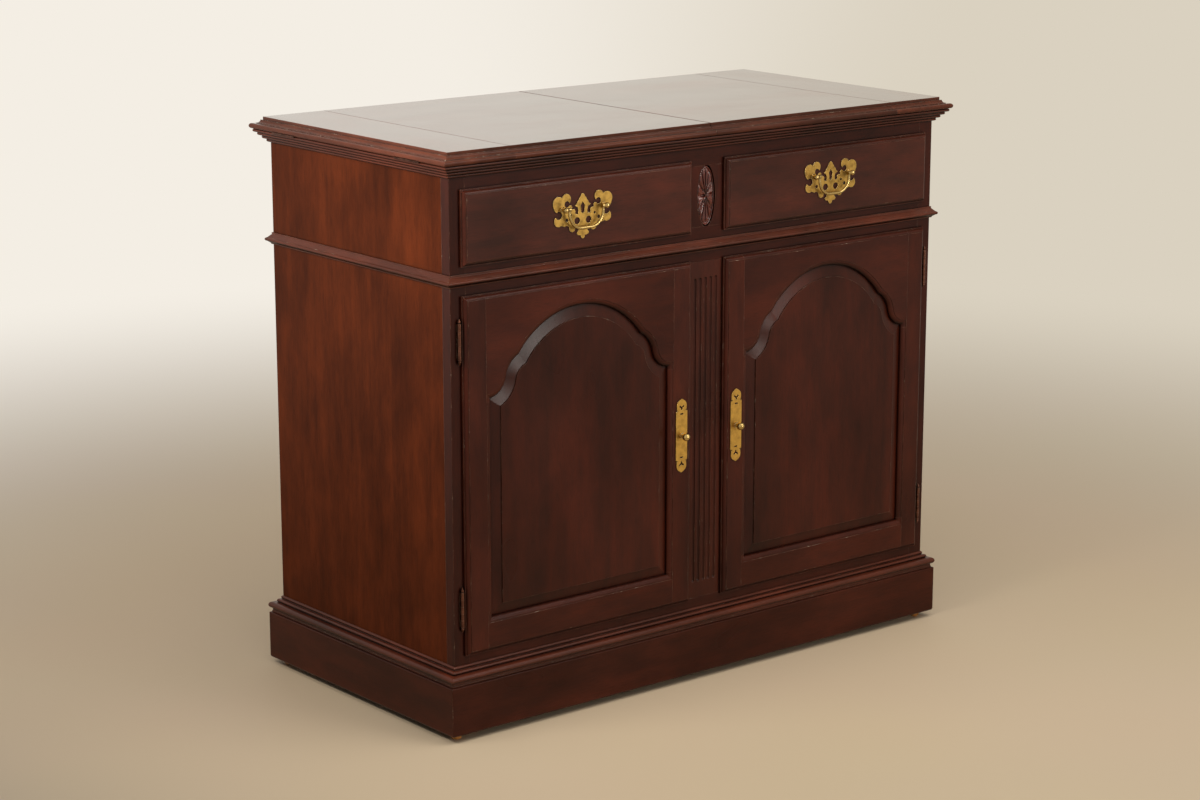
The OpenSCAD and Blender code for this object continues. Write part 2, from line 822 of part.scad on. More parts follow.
module rail_tenons(v0, v1, grow) {
  for (m = [0, 1]) mirror([m, 0, 0])
    translate([joint_u - 1, v0 - grow, tongue_back - grow])
      cube([tenon_l + 1 + grow, v1 - v0 + 2 * grow, tenon_t + 2 * grow]);
}

module top_tenons(grow) {
  rail_tenons(cove_c[1], door_open_z + door_open_h - front_gap - tenon_shoulder, grow);
}

module foot_tenons(grow) {
  rail_tenons(door_open_z + front_gap + tenon_shoulder, panel_z - 2, grow);
}

module door_stiles(side) {
  color(mahogany_dark) difference() {
    in_door(side) difference() {
      door_blank();
      panel_cutter();
      rail_zone(shoulder_z, door_top + 1);
      rail_zone(panel_z, door_z - 1);
      top_tenons(groove_play);
      foot_tenons(groove_play);
    }
    on_side(side) each_door_hinge() door_leaf_solid();
  }
}

module door_arched_rail(side) {
  color(mahogany_dark) in_door(side) {
    difference() {
      intersection() {
        door_blank();
        rail_zone(shoulder_z, door_top + 1);
      }
      panel_cutter();
    }
    top_tenons(0);
  }
}

module door_bottom_rail(side) {
  color(mahogany_dark) in_door(side) {
    difference() {
      intersection() {
        door_blank();
        rail_zone(panel_z, door_z - 1);
      }
      panel_cutter();
    }
    foot_tenons(0);
  }
}

module door_raised_panel(side) {
  color(mahogany) in_door(side) arch_solid(panel_profile);
}

module door_strike_plate(side) {
  color("#8a8a8a") on_side(side)
    translate([-catch_x - strike_size[0] / 2, case_front + rebate_d, mid_rail_z - catch_size[2] + 1])
      cube(strike_size - [0, 0, 1]);
}

// Places of the knob in the left door's flat drawing
knob_u = door_w / 2 - knob_in;
knob_v = door_z + knob_up;

// Extrudes each child by itself to a common thickness, drawn k times its size
module slab(t, k = 1) {
  for (i = [0 : $children - 1]) linear_extrude(t) scale(k) children(i);
}

// Pierced plate with a head at each end: notches under it, an ogee tip, a Y and a slot
module knob_plate_solid() {
  half_w = 11.2;
  body_v = 39;
  head_w = 9.4;
  head_r = 9.8;
  head_v = 47;
  arm = [5.2, 46];
  difference() {
    union() {
      slab(plate_t) square([2 * half_w, 2 * body_v], center = true);
      for (m = [0, 1]) mirror([0, m, 0]) slab(plate_t) {
        translate([0, head_v]) circle(head_r);
        translate([-head_w, body_v - 2]) square([2 * head_w, head_v - body_v + 2]);
        polygon([[-4.4, 54.5], [-3.8, 56.2], [-1.6, 57.4], [0, 58.2], [1.6, 57.4], [3.8, 56.2], [4.4, 54.5]]);
      }
    }
    translate([0, 0, -1]) for (m = [0, 1]) mirror([0, m, 0]) slab(plate_t + 2) {
      for (n = [-1, 1]) polygon([[n * 13, body_v - 1], [n * 13, body_v + 2.8], [n * 6.2, body_v + 0.8]]);
      polygon([
        [-1.2, 40.6], [1.2, 40.6], [1.2, 43], arm, [arm[0] - 1.4, arm[1] + 2.2], [0, 45.4],
        [1.4 - arm[0], arm[1] + 2.2], [-arm[0], arm[1]], [-1.2, 43]
      ]);
      translate([-3, 33.2]) square([6, 2.4]);
    }
  }
}

module door_knob_plate(side) {
  color(old_brass) in_door(side) translate([knob_u, knob_v, front_t])
    knob_plate_solid();
}

// Turned knob: foot ring, waisted neck and ball
module door_knob(side) {
  ball_w = knob_out - knob_d / 2;
  foot_r = 5;
  foot_h = 1.6;
  neck_r = 3;
  color(old_brass) in_door(side) translate([knob_u, knob_v, front_t]) {
    translate([0, 0, plate_t]) cylinder(r = foot_r, h = foot_h);
    translate([0, 0, plate_t]) cylinder(r = neck_r, h = ball_w - plate_t);
    translate([0, 0, ball_w]) sphere(knob_d / 2);
  }
}

// Drawers, drawn flat like the doors

module in_drawer(side) {
  on_side(side) translate([-opening_x, case_front, drawer_mid_z]) rotate([90, 0, 0]) children();
}

module drawer_front(side) {
  color(mahogany) in_drawer(side)
    lipped_blank(drawer_w, drawer_h, opening_w - 2 * front_gap, drawer_open_h - 2 * front_gap);
}

// Two sides, a back and a bottom in grooves, each with a glue line to the next
module drawer_box(side) {
  half = opening_w / 2 - front_gap;
  y0 = rebate_d;
  y1 = rebate_d + drawer_l;
  z0 = drawer_open_z + run_gap;
  groove_d = drawer_side_t / 2;
  bottom_z = z0 + bottom_up;
  color(inner_wood) on_side(side) translate([-opening_x, 0, 0]) {
    for (m = [0, 1]) mirror([m, 0, 0]) difference() {
      board(half - drawer_side_t, half, y0, y1, z0, z0 + drawer_side_h);
      board(0, half - groove_d, y0 - 1, y1 + 1, bottom_z, bottom_z + drawer_bottom_t);
    }
    board(
      -half + drawer_side_t + glue_line, half - drawer_side_t - glue_line,
      y1 - drawer_side_t, y1, bottom_z + drawer_bottom_t + glue_line, z0 + drawer_side_h
    );
    board(
      -half + groove_d + glue_line, half - groove_d - glue_line,
      y0, y1, bottom_z + glue_line, bottom_z + drawer_bottom_t - glue_line
    );
  }
}

// Half of the willow plate, from the middle to one end; the posts lie at v = 0.
// It is drawn for posts 76.5 apart, and grows with them.
module pull_plate_half() {
  slab(plate_t, plate_k) {
    // Ears over the post
    translate([45, 8.8]) circle(10.4);
    translate([44.4, 4.6]) circle(9.5);
    translate([30.5, 14.2]) circle(8.2);
    translate([38.25, 0]) circle(8.3);
    // Hook beside the drop
    translate([45.2, -17]) circle(8);
    // Body between post, hook and middle, with two beads on its arm
    polygon([
      [-1, -9.5], [12.6, -9.5], [18, -3], [25, 3.2], [38, 6], [43, -14],
      [40, -24], [31, -26.5], [24, -29], [15, -30], [8, -33], [-1, -34]
    ]);
    translate([23.3, 1.5]) circle(3.3);
    translate([17.3, -5]) circle(3.6);
    // Spire with stepped sides
    polygon([
      [-1, 20.4], [0.6, 20.4], [3.2, 18.4], [4.4, 15.6], [6.6, 13.6], [7.4, 11.2], [10.4, 8.4],
      [10.8, 6.2], [14.9, 3.2], [9.6, 0.4], [8.4, -4], [9, -11], [-1, -11]
    ]);
    // Lobe and trefoil drop
    translate([19.6, -29.6]) circle(5.6);
    polygon([[-1, -32], [7.4, -32], [9.6, -34.8], [11.4, -38], [9.4, -40.6], [3.4, -41.8], [-1, -42]]);
    translate([0, -42.8]) circle(3.6);
  }
}

// Piercings and bites of that half
module pull_plate_cuts() {
  slab(plate_t + 2, plate_k) {
    translate([10.7, -19.2]) circle(5.2);
    polygon([[-1, 7.4], [0, 8.4], [2.2, 5.2], [3.9, 2.6], [3.3, -1], [2.9, -7], [0, -9], [-1, -9]]);
    translate([29.3, 6.8]) circle(4.7);
    translate([44.6, -8.4]) circle(6);
    translate([30.5, -30.2]) circle(5.5);
    translate([11.6, -32.6]) circle(3.5);
    translate([22.3, -9.8]) circle(2);
    translate([29.8, -16.8]) circle(2.7);
  }
  translate([post_span / 2, 0, 0]) cylinder(r = post_r + pin_play, h = plate_t + 2);
}

module pull_plate(side) {
  color(old_brass) in_drawer(side) translate([0, post_up, front_t]) difference() {
    for (m = [0, 1]) mirror([m, 0, 0]) pull_plate_half();
    translate([0, 0, -1]) for (m = [0, 1]) mirror([m, 0, 0]) pull_plate_cuts();
  }
}

// Posts with ball heads, bored across for the bail's pivots
module pull_posts(side) {
  collar_r = 4.2;
  collar_h = 1.2;
  color(old_brass) in_drawer(side) translate([0, post_up, front_t]) difference() {
    for (m = [-1, 1]) translate([m * post_span / 2, 0, 0]) {
      cylinder(r = post_r, h = bail_out);
      translate([0, 0, plate_t]) cylinder(r = collar_r, h = collar_h);
      translate([0, 0, bail_out]) sphere(d = post_ball);
    }
    translate([0, 0, bail_out]) rotate([0, 90, 0])
      cylinder(d = pivot_d + 2 * pin_play, h = post_span + 20, center = true);
  }
}

// Bail: pivots in the posts, an eye inside each, and a rod that bends in to a thicker grip
module bail(side) {
  r = bail_rod / 2;
  eye_r = r + 0.7;
  leg_r = r - 0.2;
  grip_r = r + 0.25;
  into = 0.6;
  leg_u = post_span / 2 - post_ball / 2 - run_gap - r;
  leg_h = 6;
  bend_r = bail_drop - leg_h;
  color(old_brass) in_drawer(side) translate([0, post_up, front_t + bail_out]) {
    for (m = [0, 1]) mirror([m, 0, 0]) {
      translate([leg_u, 0, 0]) rotate([0, 90, 0]) cylinder(d = pivot_d, h = post_ball + r + run_gap);
      translate([leg_u - r, 0, 0]) rotate([0, 90, 0]) cylinder(r = eye_r, h = 2 * r);
      translate([leg_u, -leg_h - into, 0]) rotate([-90, 0, 0]) cylinder(r = leg_r, h = leg_h + into);
      translate([leg_u - bend_r, -leg_h, 0]) rotate([0, 0, -90])
        rotate_extrude(angle = 90) translate([bend_r, 0]) circle(r);
    }
    translate([0, -bail_drop, 0]) rotate([0, 90, 0])
      cylinder(r = grip_r, h = 2 * (leg_u - bend_r + into), center = true);
  }
}

// Flip leaves and their hinges

// Section of the top across a length, with the moulded edge at both ends
module top_section(length) {
  translate([-length / 2, 0]) square([length, leaf_t]);
  for (m = [0, 1]) mirror([m, 0]) translate([length / 2, 0]) leaf_edge();
}

// The whole top's moulded slab, as the crossing of its two sections
module moulded_top() {
  translate([0, case_mid_y, leaf_z]) intersection() {
    rotate([90, 0, 90]) linear_extrude(case_w + 2 * nose_out + 2, center = true) top_section(case_d);
    rotate([90, 0, 0]) linear_extrude(case_d + 2 * nose_out + 2, center = true) top_section(case_w);
  }
}

// A block over all depths and heights of the top, from x0 to x1 on the left
module top_zone(x0, x1) {
  translate([-x1, case_front - nose_out - 1, leaf_z - 1])
    cube([x1 - x0, case_d + 2 * nose_out + 2, leaf_t + 2]);
}

// V cut along the top's face, at x on the left
module top_groove(x, deep) {
  translate([-x, case_mid_y, leaf_z + leaf_t]) rotate([0, 45, 0])
    cube([deep * sqrt(2), case_d + 2 * nose_out + 2, deep * sqrt(2)], center = true);
}

module laminate_board(x0, x1) {
  board(-x1, -x0, laminate_margin, case_d - laminate_margin, leaf_z, leaf_z + laminate_t);
}

module leaf_panel(side) {
  color(mahogany) on_side(side) difference() {
    intersection() {
      moulded_top();
      top_zone(seam / 2, end_board_x - glue_line / 2);
    }
    laminate_board(laminate_margin, end_board_x - laminate_margin);
    top_groove(end_board_x - glue_line / 2, joint_v);
    top_groove(seam / 2, seam_v);
  }
}

module leaf_end_board(side) {
  color(mahogany) on_side(side) difference() {
    intersection() {
      moulded_top();
      top_zone(end_board_x + glue_line / 2, case_w);
    }
    each_flip_hinge() {
      flip_plate(1, 0);
      rotate([90, 0, 0])
        cylinder(r = flip_barrel_r + flip_relief, h = flip_hinge_l + 2 * flip_relief, center = true);
    }
    top_groove(end_board_x + glue_line / 2, joint_v);
  }
}

module leaf_laminate(side) {
  color("#2b1a15") on_side(side) laminate_board(laminate_margin, end_board_x - laminate_margin);
}

// Axis of each left flip hinge, +X inward, with the hinge's length along Y
module each_flip_hinge() {
  for (y = [flip_hinge_in, case_d - flip_hinge_in])
    translate([-flip_axis_x, case_front + y, flip_axis_z]) children();
}

// Leaf of a flip hinge, over (1) or under (-1) the axis, from start inward
module flip_plate(up, start = flip_barrel_r + flip_relief) {
  low = up > 0 ? run_gap / 2 : -run_gap / 2 - leaf_plate_t;
  translate([start, -flip_hinge_l / 2, low]) cube([flip_leaf_w - start, flip_hinge_l, leaf_plate_t]);
}

module case_hinge_mortises() {
  for (side = [-1, 1]) on_side(side) each_flip_hinge() flip_plate(-1);
}

// One half of a flip hinge: plate, tabs and every second knuckle
module flip_hinge_half(up, first) {
  each_l = flip_hinge_l / knuckles - run_gap;
  low = up > 0 ? run_gap / 2 : -run_gap / 2 - leaf_plate_t;
  difference() {
    union() {
      flip_plate(up);
      rotate([90, 0, 0]) knuckle_set(first, flip_hinge_l, flip_barrel_r)
        translate([0, low, 0]) cube([flip_barrel_r + 2 * flip_relief, leaf_plate_t, each_l]);
    }
    rotate([90, 0, 0]) cylinder(r = flip_pin_r + pin_play, h = flip_hinge_l + 2, center = true);
  }
}

// The case's halves, and the pins that both halves turn on
module flip_hinge_case_leaves() {
  color(dark_brass) for (side = [-1, 1]) on_side(side) each_flip_hinge() {
    flip_hinge_half(-1, 0);
    rotate([90, 0, 0]) cylinder(r = flip_pin_r, h = flip_hinge_l, center = true);
  }
}

module leaf_hinge_leaves(side) {
  color(dark_brass) on_side(side) each_flip_hinge() flip_hinge_half(1, 1);
}

left_side_panel();
right_side_panel();
back_panel();
bottom_panel();
dust_panel();
sub_top();
serving_surface();
drawer_divider();
face_frame_stiles();
face_frame_rails();
centre_stiles();
fluted_pilaster();
carved_rosette();
cornice_moulding();
waist_moulding();
base_moulding();
plinth_boards();
plinth_corner_blocks();
floor_glides();
cupboard_shelf();
shelf_pins();
drawer_guides();
magnetic_catches();
door_hinge_frame_leaves();
door_hinge_pins();
flip_hinge_case_leaves();
door_stiles(-1);  // left_door_stiles
door_arched_rail(-1);  // left_door_arched_rail
door_bottom_rail(-1);  // left_door_bottom_rail
door_raised_panel(-1);  // left_door_raised_panel
door_hinge_leaves(-1);  // left_door_hinge_leaves
door_knob_plate(-1);  // left_door_knob_plate
door_knob(-1);  // left_door_knob
door_strike_plate(-1);  // left_door_strike_plate
door_stiles(1);  // right_door_stiles
door_arched_rail(1);  // right_door_arched_rail
door_bottom_rail(1);  // right_door_bottom_rail
door_raised_panel(1);  // right_door_raised_panel
door_hinge_leaves(1);  // right_door_hinge_leaves
door_knob_plate(1);  // right_door_knob_plate
door_knob(1);  // right_door_knob
door_strike_plate(1);  // right_door_strike_plate
drawer_front(-1);  // left_drawer_front
drawer_box(-1);  // left_drawer_box
pull_plate(-1);  // left_pull_plate
pull_posts(-1);  // left_pull_posts
bail(-1);  // left_bail
drawer_front(1);  // right_drawer_front
drawer_box(1);  // right_drawer_box
pull_plate(1);  // right_pull_plate
pull_posts(1);  // right_pull_posts
bail(1);  // right_bail
leaf_panel(-1);  // left_leaf_panel
leaf_end_board(-1);  // left_leaf_end_board
leaf_laminate(-1);  // left_leaf_laminate
leaf_hinge_leaves(-1);  // left_leaf_hinge_leaves
leaf_panel(1);  // right_leaf_panel
leaf_end_board(1);  // right_leaf_end_board
leaf_laminate(1);  // right_leaf_laminate
leaf_hinge_leaves(1);  // right_leaf_hinge_leaves
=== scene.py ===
"""Flip-top server: finishes for the cabinet's pieces, its fine carving and screws, and the stage."""

import json
import math

import bpy
import numpy as np
from mathutils import Matrix, Vector


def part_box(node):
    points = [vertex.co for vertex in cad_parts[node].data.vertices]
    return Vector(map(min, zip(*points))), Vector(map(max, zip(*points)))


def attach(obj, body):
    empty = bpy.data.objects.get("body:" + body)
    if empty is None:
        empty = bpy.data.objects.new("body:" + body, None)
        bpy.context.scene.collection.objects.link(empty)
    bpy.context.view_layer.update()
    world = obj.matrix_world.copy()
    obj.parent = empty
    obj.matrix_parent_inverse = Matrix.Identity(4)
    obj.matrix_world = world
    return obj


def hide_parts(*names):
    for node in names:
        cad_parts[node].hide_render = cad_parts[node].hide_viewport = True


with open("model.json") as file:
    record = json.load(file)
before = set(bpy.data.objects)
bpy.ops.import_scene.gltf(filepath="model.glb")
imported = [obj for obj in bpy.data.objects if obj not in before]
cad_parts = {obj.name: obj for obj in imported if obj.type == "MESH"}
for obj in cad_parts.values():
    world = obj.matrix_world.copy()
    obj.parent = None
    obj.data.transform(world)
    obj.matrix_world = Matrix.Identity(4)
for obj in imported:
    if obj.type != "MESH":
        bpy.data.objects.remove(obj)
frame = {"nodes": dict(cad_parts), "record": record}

bl_info = {
    "name": "Flip-top server",
    "version": (1, 0, 0),
    "blender": (4, 5, 0),
    "location": "View3D > Sidebar > Server",
    "description": "Finishes a flip-top server in stained mahogany and brass",
    "category": "Add Mesh",
}

MM = 0.001
SIDES = ("left", "right")


# Colours and nodes


def linear(hex_colour):
    """An sRGB hex colour as linear red, green, blue and alpha."""
    values = [int(hex_colour[i : i + 2], 16) / 255 for i in (1, 3, 5)]
    return [v / 12.92 if v <= 0.04045 else ((v + 0.055) / 1.055) ** 2.4 for v in values] + [1.0]


def add(tree, kind, inputs=None, stops=None, **settings):
    """Adds a node: settings are its properties, stops fill a colour ramp, and inputs fill its sockets."""
    made = tree.nodes.new("ShaderNode" + kind)
    for name, value in settings.items():
        setattr(made, name, value)
    if stops:
        points = made.color_ramp.elements
        while len(points) < len(stops):
            points.new(0.5)
        for point, (place, colour) in zip(points, stops):
            point.position = place
            point.color = colour
    for key, value in (inputs or {}).items():
        if isinstance(value, bpy.types.NodeSocket):
            tree.links.new(value, made.inputs[key])
        else:
            made.inputs[key].default_value = value
    return made


# The Mix node has a set of sockets for each kind of data: first the vector ones, then the colour ones
VECTOR_A, VECTOR_B, VECTOR_OUT = 4, 5, 1
MIX_A, MIX_B, MIX_OUT = 6, 7, 2


def grey(value):
    """A grey for a colour ramp, with that value in linear light."""
    return [value, value, value, 1.0]


def new_material(name):
    """An empty material with a Principled shader, and its tree."""
    material = bpy.data.materials.new(name)
    material.use_nodes = True
    tree = material.node_tree
    tree.nodes.clear()
    shader = add(tree, "BsdfPrincipled")
    add(tree, "OutputMaterial", {"Surface": shader.outputs["BSDF"]})
    return material, tree, shader


# Stained mahogany


def board_coordinates(tree, grain, shift):
    """Object coordinates with the grain turned along X, moved by shift so that no two boards match.

    A mitred ring runs along X on the front and back and along Y on the ends. The mitre is where a point
    lies as far outside the case's end as outside its front or back.
    """
    place = add(tree, "TexCoord").outputs["Object"]
    split = add(tree, "SeparateXYZ", {"Vector": place})
    x, y, z = (split.outputs[axis] for axis in "XYZ")
    if grain == "ring":
        low, high = case_box()
        out_x = add(tree, "Math", {0: x}, operation="ABSOLUTE").outputs[0]
        past_end = add(tree, "Math", {0: out_x, 1: high.x}, operation="SUBTRACT").outputs[0]
        from_middle = add(tree, "Math", {0: y, 1: (low.y + high.y) / 2}, operation="SUBTRACT").outputs[0]
        out_y = add(tree, "Math", {0: from_middle}, operation="ABSOLUTE").outputs[0]
        past_front = add(tree, "Math", {0: out_y, 1: (high.y - low.y) / 2}, operation="SUBTRACT").outputs[0]
        on_end = add(tree, "Math", {0: past_end, 1: past_front}, operation="GREATER_THAN").outputs[0]
        turned = add(tree, "CombineXYZ", {"X": y, "Y": x, "Z": z}).outputs[0]
        along = add(tree, "Mix", {"Factor": on_end, VECTOR_A: place, VECTOR_B: turned}, data_type="VECTOR")
        place = along.outputs[VECTOR_OUT]
    elif grain == "Y":
        place = add(tree, "CombineXYZ", {"X": y, "Y": x, "Z": z}).outputs[0]
    elif grain == "Z":
        place = add(tree, "CombineXYZ", {"X": z, "Y": y, "Z": x}).outputs[0]
    return add(tree, "Mapping", {"Vector": place, "Location": shift}).outputs["Vector"]


def grain_noise(tree, place, along, across, **inputs):
    """Noise in clouds that are along millimetres long with the grain and across millimetres wide."""
    scale = (1 / (along * MM), 1 / (across * MM), 1 / (across * MM))
    stretched = add(tree, "Mapping", {"Vector": place, "Scale": scale}, vector_type="POINT")
    values = {"Vector": stretched.outputs["Vector"], "Scale": 1.0, "Detail": 3.0, "Roughness": 0.55}
    values.update(inputs)
    return add(tree, "TexNoise", values).outputs["Fac"]


def stained_mahogany(name, grain, shift, dark, mid, light, rough, gloss, coat, coat_rough, wear=0.75,
                     polished_up=False, glaze_mm=7, under=1.0):
    """Mahogany, ribbon-cut, stained and lacquered, with painted shade in its hollows and its arrises
    rubbed.

    The eye sees soft stripes about 8 mm wide that come and go along the board, short dark pores, clouds
    of stain, painted shade in the quirks, round the brass and on the undersides of lips and reeds, and
    paler edges that are partly rubbed and partly a painted highlight.
    """
    material, tree, shader = new_material(name)
    place = board_coordinates(tree, grain, shift)

    # Figure: broad soft bands 55 mm wide, and ribbon 8 mm wide over them
    figure = grain_noise(tree, place, 520, 55, Distortion=0.4)
    ribbon = grain_noise(tree, place, 240, 8, Detail=2.0)
    striped = add(tree, "Mix", {0: 0.26, MIX_A: figure, MIX_B: ribbon}, data_type="RGBA")

    # Mottle: light comes off the crossed fibres in patches some 60 mm long and 20 mm wide
    mottle = grain_noise(tree, place, 60, 22, Detail=4.0, Distortion=0.2)
    both = add(tree, "Mix", {0: 0.4, MIX_A: striped.outputs[MIX_OUT], MIX_B: mottle}, data_type="RGBA")
    wood = add(tree, "ValToRGB", {"Fac": both.outputs[MIX_OUT]},
               stops=[(0.36, linear(dark)), (0.5, linear(mid)), (0.66, linear(light))])

    # Pores are 0.3 mm wide in the wood, and are drawn 0.9 mm wide to show
    pores = grain_noise(tree, place, 16, 0.9, Detail=1.0)
    pore_tone = add(tree, "ValToRGB", {"Fac": pores}, stops=[(0.36, grey(0.8)), (0.47, grey(1.0))])
    with_pores = add(tree, "Mix", {0: 1.0, MIX_A: wood.outputs["Color"],
                                   MIX_B: pore_tone.outputs["Color"]},
                     data_type="RGBA", blend_type="MULTIPLY")

    # Stain lies in clouds about 210 mm long and 120 mm wide
    cloud = grain_noise(tree, place, 210, 120, Detail=2.0)
    cloud_tone = add(tree, "ValToRGB", {"Fac": cloud}, stops=[(0.33, grey(0.72)), (0.67, grey(1.18))])
    clouded = add(tree, "Mix", {0: 1.0, MIX_A: with_pores.outputs[MIX_OUT],
                                MIX_B: cloud_tone.outputs["Color"]},
                  data_type="RGBA", blend_type="MULTIPLY")

    # Painted shade: the wood darkens by occlusion in quirks, beneath lips, between parts and round the
    # brass
    occlusion_probe = add(tree, "AmbientOcclusion", {"Distance": glaze_mm * MM}, samples=6)
    glaze = add(tree, "ValToRGB", {"Fac": occlusion_probe.outputs["AO"]},
                stops=[(0.3, grey(0.1)), (0.85, grey(1.0))])

    # Painted shade on the undersides of lips and reeds: faces turned down keep only a set share of their
    # colour
    flat = add(tree, "NewGeometry").outputs["Normal"]
    own = add(tree, "VectorTransform", {"Vector": flat}, vector_type="NORMAL", convert_from="WORLD",
              convert_to="OBJECT")
    height = add(tree, "SeparateXYZ", {"Vector": own.outputs["Vector"]}).outputs["Z"]
    underside_darkening = add(tree, "MapRange", {"Value": height, "From Min": -0.8, "From Max": -0.1,
                                         "To Min": under, "To Max": 1.0})
    painted_shade = add(tree, "Mix", {0: 1.0, MIX_A: glaze.outputs["Color"], MIX_B: underside_darkening.outputs["Result"]},
               data_type="RGBA", blend_type="MULTIPLY")
    shaded_wood = add(tree, "Mix", {0: 1.0, MIX_A: clouded.outputs[MIX_OUT], MIX_B: painted_shade.outputs[MIX_OUT]},
                 data_type="RGBA", blend_type="MULTIPLY")

    # Arrises are eased by about 1 mm, rubbed in places some 26 mm long and chipped in some 9 mm long; their
    # pale colour is partly worn wood and partly a painted highlight along the edges
    eased = add(tree, "Bevel", {"Radius": 1.0 * MM}, samples=6)
    turned = add(tree, "VectorMath", {0: eased.outputs["Normal"], 1: flat}, operation="DOT_PRODUCT")
    arris = add(tree, "ValToRGB", {"Fac": turned.outputs["Value"]},
                stops=[(0.8, grey(1.0)), (0.985, grey(0.0))])
    open_arris = add(tree, "Math", {0: arris.outputs["Color"], 1: occlusion_probe.outputs["AO"]},
                     operation="MULTIPLY")
    rub = grain_noise(tree, place, 26, 18, Detail=4.0)
    rubbed = add(tree, "ValToRGB", {"Fac": rub}, stops=[(0.44, grey(0.1)), (0.64, grey(1.0))])
    worn = add(tree, "Math", {0: open_arris.outputs[0], 1: rubbed.outputs["Color"]},
               operation="MULTIPLY")
    amount = add(tree, "Math", {0: worn.outputs[0], 1: wear}, operation="MULTIPLY")
    chips = grain_noise(tree, place, 9, 5)
    bared_and_highlit = add(tree, "ValToRGB", {"Fac": chips},
                stops=[(0.58, linear("#8f6650")), (0.66, linear("#e4d4bc"))])
    finished = add(tree, "Mix", {0: amount.outputs[0], MIX_A: shaded_wood.outputs[MIX_OUT],
                                 MIX_B: bared_and_highlit.outputs["Color"]}, data_type="RGBA")

    # Lacquer bridges the pores, so they only just dent the gloss
    dents = add(tree, "Bump", {"Strength": 0.12, "Distance": 0.15 * MM, "Height": pores,
                               "Normal": eased.outputs["Normal"]})
    sheen = add(tree, "MapRange", {"Value": cloud, "From Min": 0.3, "From Max": 0.7,
                                   "To Min": rough - 0.04, "To Max": rough + 0.05})
    uniform = {"IOR": 1.5, "Specular IOR Level": gloss, "Coat Weight": coat,
               "Coat Roughness": coat_rough, "Coat IOR": 1.6}
    for socket, value in uniform.items():
        shader.inputs[socket].default_value = value
    if polished_up:
        # Only the upper face is rubbed to a full gloss, not its moulded edge or its underside
        level = add(tree, "MapRange", {"Value": height, "From Min": 0.97, "From Max": 0.995,
                                       "To Min": 0.03, "To Max": coat})
        tree.links.new(level.outputs["Result"], shader.inputs["Coat Weight"])
    tree.links.new(finished.outputs[MIX_OUT], shader.inputs["Base Color"])
    tree.links.new(sheen.outputs["Result"], shader.inputs["Roughness"])
    tree.links.new(dents.outputs["Normal"], shader.inputs["Normal"])
    tree.links.new(eased.outputs["Normal"], shader.inputs["Coat Normal"])
    return material


def sealed_poplar(name, grain, shift, tone):
    """Poplar and maple, planed and sealed clear: pale brown with soft darker rings, hardly any gloss."""
    material, tree, shader = new_material(name)
    place = board_coordinates(tree, grain, shift)
    rings = grain_noise(tree, place, 600, 14, Distortion=1.2)
    pores = grain_noise(tree, place, 24, 1.1, Detail=1.0)
    colour = add(tree, "ValToRGB", {"Fac": rings},
                 stops=[(0.35, linear("#946a46")), (0.52, linear(tone)), (0.68, linear("#b68a5e"))])
    pore_tone = add(tree, "ValToRGB", {"Fac": pores}, stops=[(0.36, grey(0.8)), (0.46, grey(1.0))])
    both = add(tree, "Mix", {0: 1.0, MIX_A: colour.outputs["Color"], MIX_B: pore_tone.outputs["Color"]},
               data_type="RGBA", blend_type="MULTIPLY")
    dents = add(tree, "Bump", {"Strength": 0.3, "Distance": 0.1 * MM, "Height": pores})
    sheen = add(tree, "MapRange", {"Value": rings, "To Min": 0.5, "To Max": 0.66})
    tree.links.new(both.outputs[MIX_OUT], shader.inputs["Base Color"])
    tree.links.new(sheen.outputs["Result"], shader.inputs["Roughness"])
    tree.links.new(dents.outputs["Normal"], shader.inputs["Normal"])
    return material


# Metals and plastics


def aged_metal(name, bright, tarnished, rubbed_highlight_tone, rough, patina, cloud_mm, scratch, edge_mm=0.4):
    """Cast or stamped metal, polished and left to age.

    Clouds of tarnish dull it, dirt stays in its corners, its eased edges are rubbed bright and carry a
    painted highlight, and fine rubbing marks spread its highlights.
    """
    material, tree, shader = new_material(name)
    place = add(tree, "TexCoord").outputs["Object"]
    cloud = grain_noise(tree, place, cloud_mm, cloud_mm, Detail=4.0, Roughness=0.6)
    rubbing = grain_noise(tree, place, 6, 0.5, Detail=2.0)
    dull = add(tree, "ValToRGB", {"Fac": cloud}, stops=[(0.38, grey(0.0)), (0.66, grey(patina))])
    corner = add(tree, "AmbientOcclusion", {"Distance": 3 * MM}, samples=6, only_local=True)
    dirt = add(tree, "ValToRGB", {"Fac": corner.outputs["AO"]},
               stops=[(0.35, grey(0.85)), (0.8, grey(0.0))])
    aged = add(tree, "Math", {0: dull.outputs["Color"], 1: dirt.outputs["Color"]}, operation="MAXIMUM")
    colour = add(tree, "Mix", {0: aged.outputs[0], MIX_A: linear(bright), MIX_B: linear(tarnished)},
                 data_type="RGBA")
    sheen = add(tree, "MapRange", {"Value": aged.outputs[0], "To Min": rough, "To Max": rough + 0.28})
    # Eased edges are rubbed bright, and their pale colour also paints a highlight along them
    eased = add(tree, "Bevel", {"Radius": edge_mm * MM}, samples=6)
    flat = add(tree, "NewGeometry").outputs["Normal"]
    turned = add(tree, "VectorMath", {0: eased.outputs["Normal"], 1: flat}, operation="DOT_PRODUCT")
    edge = add(tree, "ValToRGB", {"Fac": turned.outputs["Value"]},
               stops=[(0.8, grey(0.75)), (0.99, grey(0.0))])
    rubbed = add(tree, "Mix", {0: edge.outputs["Color"], MIX_A: colour.outputs[MIX_OUT],
                               MIX_B: linear(rubbed_highlight_tone)}, data_type="RGBA")
    marks = add(tree, "Bump", {"Strength": scratch, "Distance": 0.05 * MM, "Height": rubbing,
                               "Normal": eased.outputs["Normal"]})
    shader.inputs["Metallic"].default_value = 1.0
    tree.links.new(rubbed.outputs[MIX_OUT], shader.inputs["Base Color"])
    tree.links.new(sheen.outputs["Result"], shader.inputs["Roughness"])
    tree.links.new(marks.outputs["Normal"], shader.inputs["Normal"])
    return material


